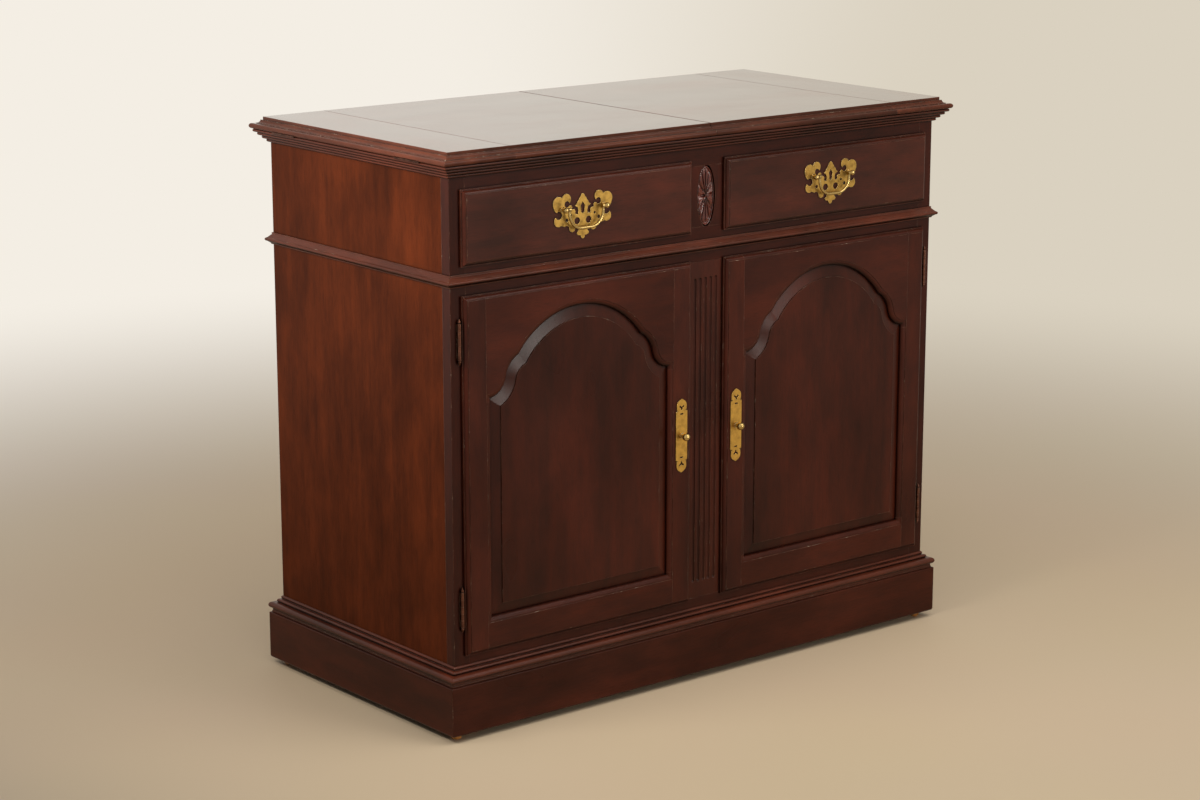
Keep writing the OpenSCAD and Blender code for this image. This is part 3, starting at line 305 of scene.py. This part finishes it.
def phenolic_laminate(tone):
    """High-pressure laminate, pressed and scuffed: a dark brown sheet with a fine leathery grain."""
    material, tree, shader = new_material("pressed_dark_laminate")
    place = add(tree, "TexCoord").outputs["Object"]
    grain = grain_noise(tree, place, 1.6, 1.6, Detail=3.0)
    scuff = grain_noise(tree, place, 120, 40, Detail=5.0, Roughness=0.65)
    colour = add(tree, "ValToRGB", {"Fac": scuff},
                 stops=[(0.35, linear(tone)), (0.75, linear("#4a342b"))])
    sheen = add(tree, "MapRange", {"Value": scuff, "To Min": 0.3, "To Max": 0.55})
    dents = add(tree, "Bump", {"Strength": 0.25, "Distance": 0.1 * MM, "Height": grain})
    tree.links.new(colour.outputs["Color"], shader.inputs["Base Color"])
    tree.links.new(sheen.outputs["Result"], shader.inputs["Roughness"])
    tree.links.new(dents.outputs["Normal"], shader.inputs["Normal"])
    return material


def amber_nylon(tone):
    """Nylon 6, moulded and unpigmented: honey-coloured, a little light passes in, scuffed matt below."""
    material, tree, shader = new_material("moulded_amber_nylon")
    place = add(tree, "TexCoord").outputs["Object"]
    cloud = grain_noise(tree, place, 5, 5, Detail=3.0)
    colour = add(tree, "ValToRGB", {"Fac": cloud}, stops=[(0.3, linear("#7d4a18")), (0.6, linear(tone))])
    sheen = add(tree, "MapRange", {"Value": cloud, "To Min": 0.28, "To Max": 0.5})
    shader.inputs["Subsurface Weight"].default_value = 0.3
    shader.inputs["Subsurface Radius"].default_value = (0.004, 0.002, 0.001)
    shader.inputs["IOR"].default_value = 1.53
    tree.links.new(colour.outputs["Color"], shader.inputs["Base Color"])
    tree.links.new(sheen.outputs["Result"], shader.inputs["Roughness"])
    return material


# Mesh


def make_piece(name, points, faces, material, body, smooth=True):
    """A mesh piece in metres that rides on a body and takes the finish it is given."""
    mesh = bpy.data.meshes.new(name)
    mesh.from_pydata(points.tolist(), [], faces)
    mesh.polygons.foreach_set("use_smooth", np.full(len(mesh.polygons), smooth))
    mesh.materials.append(material)
    piece = bpy.data.objects.new(name, mesh)
    bpy.context.scene.collection.objects.link(piece)
    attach(piece, body)
    return piece


def close_rings(rings):
    """Faces for rings of points: each ring is joined to the next, and the first and last are filled.

    Ring r's point c is number r * n + c. A quad joins c and c + 1 of a ring to those of the next one.
    """
    rows, n = rings.shape[:2]
    start = np.arange(rows - 1)[:, None] * n
    here = np.arange(n)[None, :]
    after = (here + 1) % n
    quads = np.stack([start + here, start + after, start + n + after, start + n + here], axis=-1)
    first = np.arange(n)[::-1].tolist()
    last = ((rows - 1) * n + np.arange(n)).tolist()
    return quads.reshape(-1, 4).tolist() + [first, last]


# Measures from the frame


def case_box():
    """The lowest and highest corners of the case, from its end panels, back and face frame."""
    names = ("left_side_panel", "right_side_panel", "back_panel", "face_frame_stiles")
    boxes = [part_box(name) for name in names]
    low = Vector([min(box[0][axis] for box in boxes) for axis in range(3)])
    high = Vector([max(box[1][axis] for box in boxes) for axis in range(3)])
    return low, high


def dress(name, material):
    """Gives a CAD node's every slot this material."""
    for slot in frame["nodes"][name].material_slots:
        slot.material = material


def shift_of(number):
    """A different place in the timber for each board, in metres."""
    return (0.37 * number, 0.113 * number + 0.02 * math.sin(number), 0.071 * number)


# Carving


def bump_over(share, reach):
    """1 in the middle of a carved leaf, falling along a parabola to 0 where share meets its reach."""
    return np.clip(1 - (share / np.maximum(reach, 1e-6)) ** 2, 0, 1)


def patera_height(k, t, look):
    """Height of the carving, in mm over its back, k of the way out along the oval's ray at angle t.

    A rim, then a ring of long leaves, each a parabola across that is cut by a vein, then a flower of
    shorter pointed leaves, then a boss. The highest of them shows.
    """
    def across(count):
        return np.abs(2 * ((count * t / (2 * np.pi)) % 1) - 1)

    ground = 1.2
    rim = 2.6 * bump_over(np.abs(k - 0.965), 0.035)
    along = np.clip((k - 0.26) / 0.66, 0, 1)
    long_leaf = across(look.patera_leaves)
    leaf = 3.8 * bump_over(long_leaf, 0.94 * np.sqrt(np.clip(1 - (2 * along - 1.15) ** 4 / 1.4, 0, 1)))
    leaf = leaf * np.clip(5 * (1 - along), 0, 1) ** 0.5 * (0.72 + 0.28 * along)
    leaf = leaf - 1.1 * np.exp(-((long_leaf / 0.13) ** 2)) * np.clip(4 * along * (1 - along), 0, 1)
    out = np.clip(k / 0.4, 0, 1)
    short_leaf = across(look.flower_leaves)
    flower = 4.1 * bump_over(short_leaf, 0.2 + 1.1 * np.sqrt(out * (1 - out)))
    flower = flower * np.clip(8 * (1 - out), 0, 1)
    flower = flower - 1.2 * np.exp(-((short_leaf / 0.16) ** 2)) * np.clip(3 * out * (1 - out), 0, 1)
    boss = 4.1 * bump_over(k, 0.085)
    return ground + np.maximum.reduce([rim, leaf, flower, boss, np.zeros_like(k)])


def carve_patera(look, material):
    """The oval patera: rings of points run up its edge and in over the carving to the boss."""
    low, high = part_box("carved_rosette")
    middle_x, middle_z = (low[0] + high[0]) / 2, (low[2] + high[2]) / 2
    half_x, half_z = (high[0] - low[0]) / 2, (high[2] - low[2]) / 2
    points_round, rings_in = 480, 64
    t = np.linspace(0, 2 * np.pi, points_round, endpoint=False)[None, :]
    k = np.concatenate([[1.0], np.linspace(1.0, 0.01, rings_in)])[:, None]
    height = patera_height(k + 0 * t, t + 0 * k, look) * MM
    height[0] = 0.0
    x = middle_x + k * half_x * np.cos(t)
    z = middle_z + k * half_z * np.sin(t)
    points = np.stack([x, high[1] - height, z], axis=-1)
    piece = make_piece("carved_patera", points.reshape(-1, 3), close_rings(points), material, "cabinet")
    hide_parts("carved_rosette")


# Screws


def screw_rings(radius, height):
    """A slotted screw head at the origin, facing +Z with its slot along X, as rings across it.

    Each ring lies at one y. It runs up the head's edge and over a dome that falls along a parabola to
    half its height at the edge. Between the slot's sides the dome is cut down to a floor.
    """
    half_slot = 0.16 * radius
    sides = np.linspace(-0.98 * radius, -half_slot, 6)
    y = np.concatenate([sides, [-half_slot, half_slot], -sides[::-1]])[:, None]
    half = np.sqrt(radius**2 - y**2)
    x = np.linspace(-1, 1, 11)[None, :] * half
    z = height * (1 - 0.5 * (x**2 + y**2) / radius**2)
    floor = slice(len(sides), len(sides) + 2)
    z[floor] = 0.15 * height
    top = np.stack([x, y + 0 * x, z], axis=-1)
    foot = np.stack([x, y + 0 * x, 0 * z], axis=-1)
    return np.concatenate([foot[:, :1], top, foot[:, -1:]], axis=1)


def drive_screws(name, body, places, radius, height, material):
    """One piece of slotted screws, each at a (point, outward normal, slot's direction) of places."""
    rings = screw_rings(radius, height)
    one = close_rings(rings)
    points = []
    faces = []
    for number, (place, normal, along) in enumerate(places):
        across = np.cross(normal, along)
        turn = np.array([along, across, normal], dtype=float)
        points.append(rings.reshape(-1, 3) @ turn + np.array(place))
        faces += [[corner + number * rings.shape[0] * rings.shape[1] for corner in face] for face in one]
    return make_piece(name, np.concatenate(points), faces, material, body, smooth=False)


def tilted(first, second, number):
    """A slot's direction in the plane of two axes, at a different angle for each screw."""
    angle = math.radians(25 + 67 * number)
    return np.array(first) * math.cos(angle) + np.array(second) * math.sin(angle)


SCREW_RADIUS = 2.6 * MM


def rows_of_three(low, high, half_plate, pitch):
    """Places of three screws in a plate at each end of a length, pitch apart about the plate's middle."""
    middles = (low + half_plate, high - half_plate)
    return [middle + step * pitch for middle in middles for step in (-1, 0, 1)]


def screw_hinges(material):
    """Screws in the door hinges' two leaves and in the strike plates, three or one to a plate."""
    height, pitch, half_barrel = 0.22 * MM, 17 * MM, 26 * MM
    from_edge, from_pin, above_middle = 9 * MM, 7.5 * MM, 0.5 * MM
    x_axis, y_axis, z_axis = np.eye(3)
    joints = {joint["name"]: joint for joint in frame["record"]["behaviour"]["joints"]}
    case_front = case_box()[0].y
    frame_places = []
    for side, sign in zip(SIDES, (-1, 1)):
        low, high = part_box(f"{side}_door_hinge_leaves")
        inner_x = high[0] if sign < 0 else low[0]
        pin_x = joints[f"{side}_door_swing"]["pos_m"][0]
        door_places = []
        for number, z in enumerate(rows_of_three(low[2], high[2], half_barrel, pitch)):
            door_places.append(((inner_x + sign * from_edge, high[1], z), y_axis,
                                tilted(x_axis, z_axis, number)))
            frame_places.append(((pin_x - sign * from_pin, case_front, z), -y_axis,
                                 tilted(x_axis, z_axis, number + 3)))
        plate_low, plate_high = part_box(f"{side}_door_strike_plate")
        plate_middle = ((plate_low[0] + plate_high[0]) / 2, plate_high[1],
                        (plate_low[2] + plate_high[2]) / 2 + above_middle)
        door_places.append((plate_middle, y_axis, x_axis))
        drive_screws(f"{side}_door_screws", f"{side}_door", door_places, SCREW_RADIUS, height,
                     material)
    drive_screws("door_frame_screws", "cabinet", frame_places, SCREW_RADIUS, height, material)


def screw_flip_hinges(material):
    """Three screws in each plate of the flip hinges, sunk almost flush."""
    height, pitch, half_plate = 0.12 * MM, 20 * MM, 30 * MM
    from_edge, knuckle_drop = 11 * MM, 1.2 * MM
    x_axis, y_axis, z_axis = np.eye(3)
    case_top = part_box("sub_top")[1][2]
    case_places = []
    for side, sign in zip(SIDES, (-1, 1)):
        low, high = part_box(f"{side}_leaf_hinge_leaves")
        inner_x = high[0] if sign < 0 else low[0]
        x = inner_x + sign * from_edge
        leaf_places = []
        for number, y in enumerate(rows_of_three(low[1], high[1], half_plate, pitch)):
            leaf_places.append(((x, y, high[2] - knuckle_drop), -z_axis, tilted(x_axis, y_axis, number)))
            case_places.append(((x, y, case_top), z_axis, tilted(x_axis, y_axis, number + 2)))
        drive_screws(f"{side}_leaf_screws", f"{side}_leaf", leaf_places, SCREW_RADIUS, height,
                     material)
    drive_screws("flip_hinge_case_screws", "cabinet", case_places, SCREW_RADIUS, height,
                 material)


# Settings


class ServerFinishes(bpy.types.PropertyGroup):
    """Colours and gloss of the server's finishes."""

    case_tone: bpy.props.StringProperty(name="Case", description="Stain of the ends", default="#4d210e")
    # The front's stains differ partly from board to board and partly as painted shade and light: the frame
    # darker where shade falls beneath the cornice, the panels darker low down, the drawer fronts lighter
    # high up
    frame_tone: bpy.props.StringProperty(name="Face frame", description="Stain of the frame",
                                         default="#37140b")
    drawer_tone: bpy.props.StringProperty(name="Drawers", description="Stain of drawer fronts",
                                          default="#421b10")
    door_tone: bpy.props.StringProperty(name="Doors", description="Stain of stiles and rails",
                                        default="#3e170c")
    panel_tone: bpy.props.StringProperty(name="Panels", description="Stain of raised panels",
                                         default="#391409")
    moulding_tone: bpy.props.StringProperty(name="Mouldings", description="Stain of mouldings",
                                            default="#4f2315")
    plinth_tone: bpy.props.StringProperty(name="Plinth", description="Stain of the plinth",
                                          default="#3c180d")
    patera_tone: bpy.props.StringProperty(name="Patera", description="Stain of the carving",
                                          default="#5e2013")
    top_tone: bpy.props.StringProperty(name="Top", description="Stain of the leaves", default="#4f281b")
    inner_tone: bpy.props.StringProperty(name="Inside", description="Sealed inner wood",
                                         default="#a5774c")
    brass_tone: bpy.props.StringProperty(name="Brass", description="Polished brass", default="#c2a76c")
    plate_tone: bpy.props.StringProperty(name="Plates", description="Stamped brass", default="#c09a50")
    knob_plate_tone: bpy.props.StringProperty(name="Knob plates", description="Their brass",
                                              default="#cda250")
    old_brass_tone: bpy.props.StringProperty(name="Hinges", description="Antique copper",
                                             default="#6e483a")
    screw_tone: bpy.props.StringProperty(name="Screws", description="Aged brass screws",
                                         default="#80663f")
    steel_tone: bpy.props.StringProperty(name="Steel", description="Zinc-plated steel",
                                         default="#9a9a98")
    laminate_tone: bpy.props.StringProperty(name="Laminate", description="Serving surface",
                                            default="#2b1a15")
    nylon_tone: bpy.props.StringProperty(name="Glides", description="Nylon glides", default="#b97a2c")
    patera_leaves: bpy.props.IntProperty(name="Patera leaves", description="Long leaves of the carving",
                                         default=12, min=6, max=24)
    flower_leaves: bpy.props.IntProperty(name="Flower leaves", description="Short leaves of the carving",
                                         default=8, min=4, max=16)
    satin: bpy.props.FloatProperty(name="Satin", description="Roughness of the lacquer",
                                   default=0.31, min=0.05, max=0.9, subtype="FACTOR")
    polish: bpy.props.FloatProperty(name="Polish", description="Roughness of the top's lacquer",
                                    default=0.2, min=0.05, max=0.9, subtype="FACTOR")


class ServerStage(bpy.types.PropertyGroup):
    """Camera, floor and light."""

    floor_tone: bpy.props.StringProperty(name="Floor", description="Colour of the floor",
                                         default="#c4b094")
    bright_wall: bpy.props.StringProperty(name="Bright wall", description="Colour at left",
                                          default="#f4eee4")
    dim_wall: bpy.props.StringProperty(name="Dim wall", description="Colour at right",
                                       default="#dad1c0")
    camera_place: bpy.props.FloatVectorProperty(name="Camera", description="Place of the camera", size=3,
                                                default=(-2.868, -3.521, 1.478), subtype="TRANSLATION",
                                                unit="LENGTH")
    camera_turn: bpy.props.FloatProperty(name="Turn", description="Camera's turn from straight ahead",
                                         default=math.radians(39.93), subtype="ANGLE", unit="ROTATION")
    camera_tilt: bpy.props.FloatProperty(name="Tilt", description="Camera's tilt down",
                                         default=math.radians(13.81), subtype="ANGLE", unit="ROTATION")
    camera_roll: bpy.props.FloatProperty(name="Roll", description="Camera's roll",
                                         default=math.radians(0.22), subtype="ANGLE", unit="ROTATION")
    camera_lens: bpy.props.FloatProperty(name="Lens", description="Focal length in millimetres",
                                         default=87.09, unit="CAMERA")
    floor_size: bpy.props.FloatProperty(name="Floor size", description="Width of the floor",
                                        default=30.0, unit="LENGTH")


# Finishes


def wood_shades(tone):
    """The dark, middle and light shades of a stained wood, as hex colours about its tone."""
    channels = [int(tone[i : i + 2], 16) for i in (1, 3, 5)]
    shades = []
    for share in (0.8, 1.0, 1.2):
        shades.append("#" + "".join(f"{min(255, round(c * share)):02x}" for c in channels))
    return shades


def finish_boards(boards, label, tone, first, **lacquer):
    """Dresses (node, grain) boards in mahogany, each cut from its own place in the timber."""
    dark, mid, light = wood_shades(tone)
    for number, (name, grain) in enumerate(boards, first):
        material = stained_mahogany(f"{label}_{name}", grain, shift_of(number), dark, mid, light, **lacquer)
        dress(name, material)


class SERVER_OT_finish_case(bpy.types.Operator):
    """Stains and lacquers the end panels, the back and the sub-top."""

    bl_idname = "server.finish_case"
    bl_label = "Finish the case"

    def execute(self, context):
        look = context.scene.server_finishes
        boards = [("left_side_panel", "Z"), ("right_side_panel", "Z"), ("back_panel", "Z"),
                  ("sub_top", "X")]
        finish_boards(boards, "veneered_mahogany", look.case_tone, 1, rough=look.satin, gloss=0.03,
                      coat=0.0, coat_rough=0.25)
        return {"FINISHED"}


class SERVER_OT_finish_fronts(bpy.types.Operator):
    """Stains and lacquers the face frame, the pilaster, the drawer fronts and the doors."""

    bl_idname = "server.finish_fronts"
    bl_label = "Finish the fronts"

    def execute(self, context):
        look = context.scene.server_finishes
        frames = [("face_frame_stiles", "Z"), ("face_frame_rails", "X"), ("centre_stiles", "Z")]
        drawers = [(f"{side}_drawer_front", "X") for side in SIDES]
        panels = [(f"{side}_door_raised_panel", "Z") for side in SIDES]
        doors = []
        for side in SIDES:
            doors += [(f"{side}_door_stiles", "Z"), (f"{side}_door_arched_rail", "X"),
                      (f"{side}_door_bottom_rail", "X")]
        lacquer = {"rough": look.satin, "coat": 0.0, "coat_rough": 0.25, "wear": 0.65, "under": 0.12}
        finish_boards(frames, "solid_mahogany", look.frame_tone, 11, gloss=0.13, **lacquer)
        finish_boards([("fluted_pilaster", "Z")], "solid_mahogany", look.door_tone, 14, gloss=0.17,
                      glaze_mm=16, **lacquer)
        finish_boards(drawers, "solid_mahogany", look.drawer_tone, 15, gloss=0.19, **lacquer)
        finish_boards(doors, "solid_mahogany", look.door_tone, 17, gloss=0.15, glaze_mm=10, **lacquer)
        finish_boards(panels, "rubbed_mahogany_panel", look.panel_tone, 25, gloss=0.16, glaze_mm=10,
                      **lacquer)
        return {"FINISHED"}


class SERVER_OT_carve_patera(bpy.types.Operator):
    """Carves the oval patera between the drawers, and gives it a brighter lacquer."""

    bl_idname = "server.carve_patera"
    bl_label = "Carve the patera"

    def execute(self, context):
        look = context.scene.server_finishes
        dark, mid, light = wood_shades(look.patera_tone)
        material = stained_mahogany("carved_mahogany_patera", "Z", shift_of(29), dark, mid, light,
                                    rough=0.22, gloss=0.2, coat=0.65, coat_rough=0.07, wear=0.2)
        dress("carved_rosette", material)
        carve_patera(look, material)
        return {"FINISHED"}


class SERVER_OT_finish_mouldings(bpy.types.Operator):
    """Stains and lacquers the cornice, the waist and base mouldings and the plinth."""

    bl_idname = "server.finish_mouldings"
    bl_label = "Finish the mouldings"

    def execute(self, context):
        look = context.scene.server_finishes
        boards = [(name, "ring") for name in ("cornice_moulding", "waist_moulding", "base_moulding")]
        finish_boards(boards, "moulded_mahogany", look.moulding_tone, 31, rough=look.satin, gloss=0.21,
                      coat=0.0, coat_rough=0.25, wear=0.6, under=0.12)
        finish_boards([("plinth_boards", "ring")], "solid_mahogany", look.plinth_tone, 36,
                      rough=look.satin, gloss=0.12, coat=0.0, coat_rough=0.25)
        return {"FINISHED"}


class SERVER_OT_finish_top(bpy.types.Operator):
    """Stains the leaves and rubs their lacquer to a polish."""

    bl_idname = "server.finish_top"
    bl_label = "Finish the top"

    def execute(self, context):
        look = context.scene.server_finishes
        boards = []
        for side in SIDES:
            boards += [(f"{side}_leaf_panel", "X"), (f"{side}_leaf_end_board", "Y")]
        finish_boards(boards, "polished_mahogany", look.top_tone, 41, rough=look.polish, gloss=0.12,
                      coat=1.0, coat_rough=0.12, wear=0.6, polished_up=True)
        return {"FINISHED"}


class SERVER_OT_finish_inside(bpy.types.Operator):
    """Seals the boards inside the case and the drawer boxes."""

    bl_idname = "server.finish_inside"
    bl_label = "Finish the inside"

    def execute(self, context):
        look = context.scene.server_finishes
        boards = [("bottom_panel", "X"), ("dust_panel", "X"), ("cupboard_shelf", "X"),
                  ("drawer_divider", "Y"), ("drawer_guides", "Y"), ("plinth_corner_blocks", "Z"),
                  ("left_drawer_box", "Y"), ("right_drawer_box", "Y")]
        for number, (name, grain) in enumerate(boards, 51):
            dress(name, sealed_poplar(f"sealed_poplar_{name}", grain, shift_of(number), look.inner_tone))
        return {"FINISHED"}


class SERVER_OT_finish_hardware(bpy.types.Operator):
    """Polishes the pulls and knobs, and ages the hinges, catches and shelf pins."""

    bl_idname = "server.finish_hardware"
    bl_label = "Finish the hardware"

    def execute(self, context):
        look = context.scene.server_finishes
        plates = aged_metal("stamped_brass_plate", look.plate_tone, "#5d4722", "#f3e3b8", rough=0.34,
                            patina=0.7, cloud_mm=12, scratch=0.2, edge_mm=0.6)
        knob_plates = aged_metal("stamped_brass_knob_plate", look.knob_plate_tone, "#6a4c22", "#f3e3b8",
                                 rough=0.34, patina=0.5, cloud_mm=12, scratch=0.2, edge_mm=0.3)
        turned = aged_metal("turned_brass", look.brass_tone, "#6d5226", "#f3e3b8", rough=0.14,
                            patina=0.35, cloud_mm=12, scratch=0.08)
        hinges = aged_metal("antique_copper_hinge", look.old_brass_tone, "#26140f", "#a58a7a", rough=0.3,
                            patina=0.7, cloud_mm=9, scratch=0.2)
        steel = aged_metal("zinc_plated_steel", look.steel_tone, "#6c6c6a", "#d0d0cc", rough=0.38,
                           patina=0.4, cloud_mm=7, scratch=0.15)
        for side in SIDES:
            dress(f"{side}_pull_plate", plates)
            dress(f"{side}_door_knob_plate", knob_plates)
            for piece in ("pull_posts", "bail", "door_knob"):
                dress(f"{side}_{piece}", turned)
            dress(f"{side}_door_hinge_leaves", hinges)
            dress(f"{side}_leaf_hinge_leaves", hinges)
            dress(f"{side}_door_strike_plate", steel)
        for name in ("door_hinge_frame_leaves", "door_hinge_pins", "flip_hinge_case_leaves"):
            dress(name, hinges)
        dress("magnetic_catches", steel)
        dress("shelf_pins", turned)
        return {"FINISHED"}


class SERVER_OT_drive_screws(bpy.types.Operator):
    """Drives slotted brass screws into the hinges and the strike plates."""

    bl_idname = "server.drive_screws"
    bl_label = "Drive the screws"

    def execute(self, context):
        look = context.scene.server_finishes
        material = aged_metal("slotted_brass_screw", look.screw_tone, "#2e2116", "#b39a72", rough=0.34,
                              patina=0.6, cloud_mm=6, scratch=0.2)
        screw_hinges(material)
        screw_flip_hinges(material)
        return {"FINISHED"}


class SERVER_OT_finish_plastics(bpy.types.Operator):
    """Presses the laminates and moulds the glides."""

    bl_idname = "server.finish_plastics"
    bl_label = "Finish laminates and glides"

    def execute(self, context):
        look = context.scene.server_finishes
        laminate = phenolic_laminate(look.laminate_tone)
        for name in ("serving_surface", "left_leaf_laminate", "right_leaf_laminate"):
            dress(name, laminate)
        dress("floor_glides", amber_nylon(look.nylon_tone))
        return {"FINISHED"}


# Stage


def soft_light(name, place, target, width, height, power, in_gloss=False):
    """A slightly warm softbox at place that faces target. The camera doesn't see it, and gloss may."""
    lamp = bpy.data.lights.new(name, "AREA")
    lamp.shape = "RECTANGLE"
    lamp.size = width
    lamp.size_y = height
    lamp.energy = power
    lamp.color = (1.0, 0.96, 0.9)
    box = bpy.data.objects.new(name, lamp)
    box.location = place
    box.rotation_euler = (Vector(target) - Vector(place)).to_track_quat("-Z", "Y").to_euler()
    box.visible_camera = False
    box.visible_glossy = in_gloss
    bpy.context.scene.collection.objects.link(box)
    return box


def wall_colour(tree, direction, stage):
    """Colour of the pale walls in a direction: brighter on the left than on the right."""
    turn = stage.camera_turn
    rightward = add(tree, "VectorMath", {0: direction, 1: (math.cos(turn), -math.sin(turn), 0)},
                    operation="DOT_PRODUCT").outputs["Value"]
    share = add(tree, "MapRange", {"Value": rightward, "From Min": -0.12, "From Max": 0.17},
                interpolation_type="SMOOTHSTEP").outputs["Result"]
    return add(tree, "Mix", {0: share, MIX_A: linear(stage.bright_wall), MIX_B: linear(stage.dim_wall)},
               data_type="RGBA").outputs[MIX_OUT]


def lay_floor(stage):
    """A flat pale floor, which the camera and gloss see turn to the background with distance."""
    fade_from, fade_to = 0.8, 3.2
    half = stage.floor_size / 2
    corners = [(-half, -half, 0), (half, -half, 0), (half, half, 0), (-half, half, 0)]
    mesh = bpy.data.meshes.new("floor")
    mesh.from_pydata(corners, [], [(0, 1, 2, 3)])
    floor = bpy.data.objects.new("floor", mesh)
    bpy.context.scene.collection.objects.link(floor)
    material, tree, shader = new_material("matt_painted_floor")
    place = add(tree, "TexCoord").outputs["Object"]
    cloud = add(tree, "TexNoise", {"Vector": place, "Scale": 1.5})
    colour = add(tree, "Mix", {0: 0.03, MIX_A: linear(stage.floor_tone), MIX_B: cloud.outputs["Color"]},
                 data_type="RGBA")
    shader.inputs["Roughness"].default_value = 0.7
    tree.links.new(colour.outputs[MIX_OUT], shader.inputs["Base Color"])
    away = add(tree, "VectorMath", {0: place}, operation="LENGTH").outputs["Value"]
    outward = add(tree, "VectorMath", {0: place}, operation="NORMALIZE").outputs["Vector"]
    far = add(tree, "MapRange", {"Value": away, "From Min": fade_from, "From Max": fade_to},
              interpolation_type="SMOOTHSTEP").outputs["Result"]
    share = add(tree, "Math", {0: far, 1: seen_directly(tree)}, operation="MULTIPLY")
    glow = add(tree, "Emission", {"Color": wall_colour(tree, outward, stage), "Strength": 1.0})
    both = add(tree, "MixShader", {0: share.outputs[0], 1: shader.outputs[0], 2: glow.outputs[0]})
    tree.links.new(both.outputs[0], tree.nodes["Material Output"].inputs["Surface"])
    mesh.materials.append(material)


def seen_directly(tree):
    """1 for what the camera sees, also in gloss or through glass, and 0 for light that falls on things."""
    rays = add(tree, "LightPath")
    seen = add(tree, "Math", {0: rays.outputs["Is Camera Ray"], 1: rays.outputs["Is Glossy Ray"]},
               operation="MAXIMUM")
    return add(tree, "Math", {0: seen.outputs[0], 1: rays.outputs["Is Transmission Ray"]},
               operation="MAXIMUM").outputs[0]


def light_the_room(stage):
    """A dim even world, which the camera and gloss see as pale walls."""
    world = bpy.data.worlds.new("studio")
    world.use_nodes = True
    tree = world.node_tree
    tree.nodes.clear()
    ambient = add(tree, "Background", {"Color": linear("#ffffff"), "Strength": 0.2})
    direction = add(tree, "TexCoord").outputs["Generated"]
    wall = add(tree, "Background", {"Color": wall_colour(tree, direction, stage), "Strength": 1.0})
    both = add(tree, "MixShader", {0: seen_directly(tree), 1: ambient.outputs[0], 2: wall.outputs[0]})
    add(tree, "OutputWorld", {"Surface": both.outputs[0]})
    bpy.context.scene.world = world


def set_camera(stage):
    """The camera at the photograph's place, with the shift of its crop."""
    crop_width, crop_x, crop_y = 1200, 49, 25
    camera = bpy.data.cameras.new("camera")
    camera.lens = stage.camera_lens
    camera.sensor_width = 36.0
    camera.shift_x = -crop_x / crop_width
    camera.shift_y = crop_y / crop_width
    camera.clip_start = 0.1
    camera.clip_end = 100.0
    holder = bpy.data.objects.new("camera", camera)
    turn = Matrix.Rotation(-stage.camera_turn, 4, "Z")
    tilt = Matrix.Rotation(math.radians(90) - stage.camera_tilt, 4, "X")
    roll = Matrix.Rotation(stage.camera_roll, 4, "Z")
    holder.matrix_world = Matrix.Translation(stage.camera_place) @ turn @ tilt @ roll
    bpy.context.scene.collection.objects.link(holder)
    bpy.context.scene.camera = holder


class SERVER_OT_build_stage(bpy.types.Operator):
    """Lays the floor, and sets the lights and the camera."""

    bl_idname = "server.build_stage"
    bl_label = "Build the stage"

    def execute(self, context):
        stage = context.scene.server_stage
        lay_floor(stage)
        light_the_room(stage)
        middle = (0.0, 0.0, 0.5)
        soft_light("window", (-1.3, -0.12, 1.15), (-0.48, 0.05, 1.3), 0.9, 0.5, 20)
        soft_light("ceiling", (0.2, -0.9, 3.4), middle, 3.2, 2.0, 62)
        soft_light("front", (0.6, -1.5, 1.75), (0.0, -0.2, 1.3), 1.2, 0.6, 10, in_gloss=True)
        soft_light("room_window", (1.3, -5.2, 1.15), middle, 2.2, 0.55, 75, in_gloss=True)
        set_camera(stage)
        context.scene.view_settings.view_transform = "Standard"
        return {"FINISHED"}


OPERATORS = (
    SERVER_OT_finish_case,
    SERVER_OT_finish_fronts,
    SERVER_OT_carve_patera,
    SERVER_OT_finish_mouldings,
    SERVER_OT_finish_top,
    SERVER_OT_finish_inside,
    SERVER_OT_finish_hardware,
    SERVER_OT_drive_screws,
    SERVER_OT_finish_plastics,
    SERVER_OT_build_stage,
)


class SERVER_PT_panel(bpy.types.Panel):
    """Lists the server's settings and operators in the sidebar."""

    bl_idname = "SERVER_PT_panel"
    bl_label = "Flip-top server"
    bl_space_type = "VIEW_3D"
    bl_region_type = "UI"
    bl_category = "Server"

    def draw(self, context):
        scene = context.scene
        for group in (scene.server_finishes, scene.server_stage):
            for name in group.bl_rna.properties.keys():
                if name not in ("rna_type", "name"):
                    self.layout.prop(group, name)
        for operator in OPERATORS:
            self.layout.operator(operator.bl_idname)


CLASSES = (ServerFinishes, ServerStage) + OPERATORS + (SERVER_PT_panel,)


def register():
    """Registers the classes and puts the settings on the scene."""
    for cls in CLASSES:
        bpy.utils.register_class(cls)
    bpy.types.Scene.server_finishes = bpy.props.PointerProperty(type=ServerFinishes)
    bpy.types.Scene.server_stage = bpy.props.PointerProperty(type=ServerStage)


def unregister():
    """Takes the settings and the classes away again."""
    del bpy.types.Scene.server_stage
    del bpy.types.Scene.server_finishes
    for cls in reversed(CLASSES):
        bpy.utils.unregister_class(cls)


def main():
    """Runs every operator in order."""
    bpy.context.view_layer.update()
    register()
    for operator in OPERATORS:
        group, name = operator.bl_idname.split(".")
        getattr(getattr(bpy.ops, group), name)()


if __name__ == "__main__":
    main()
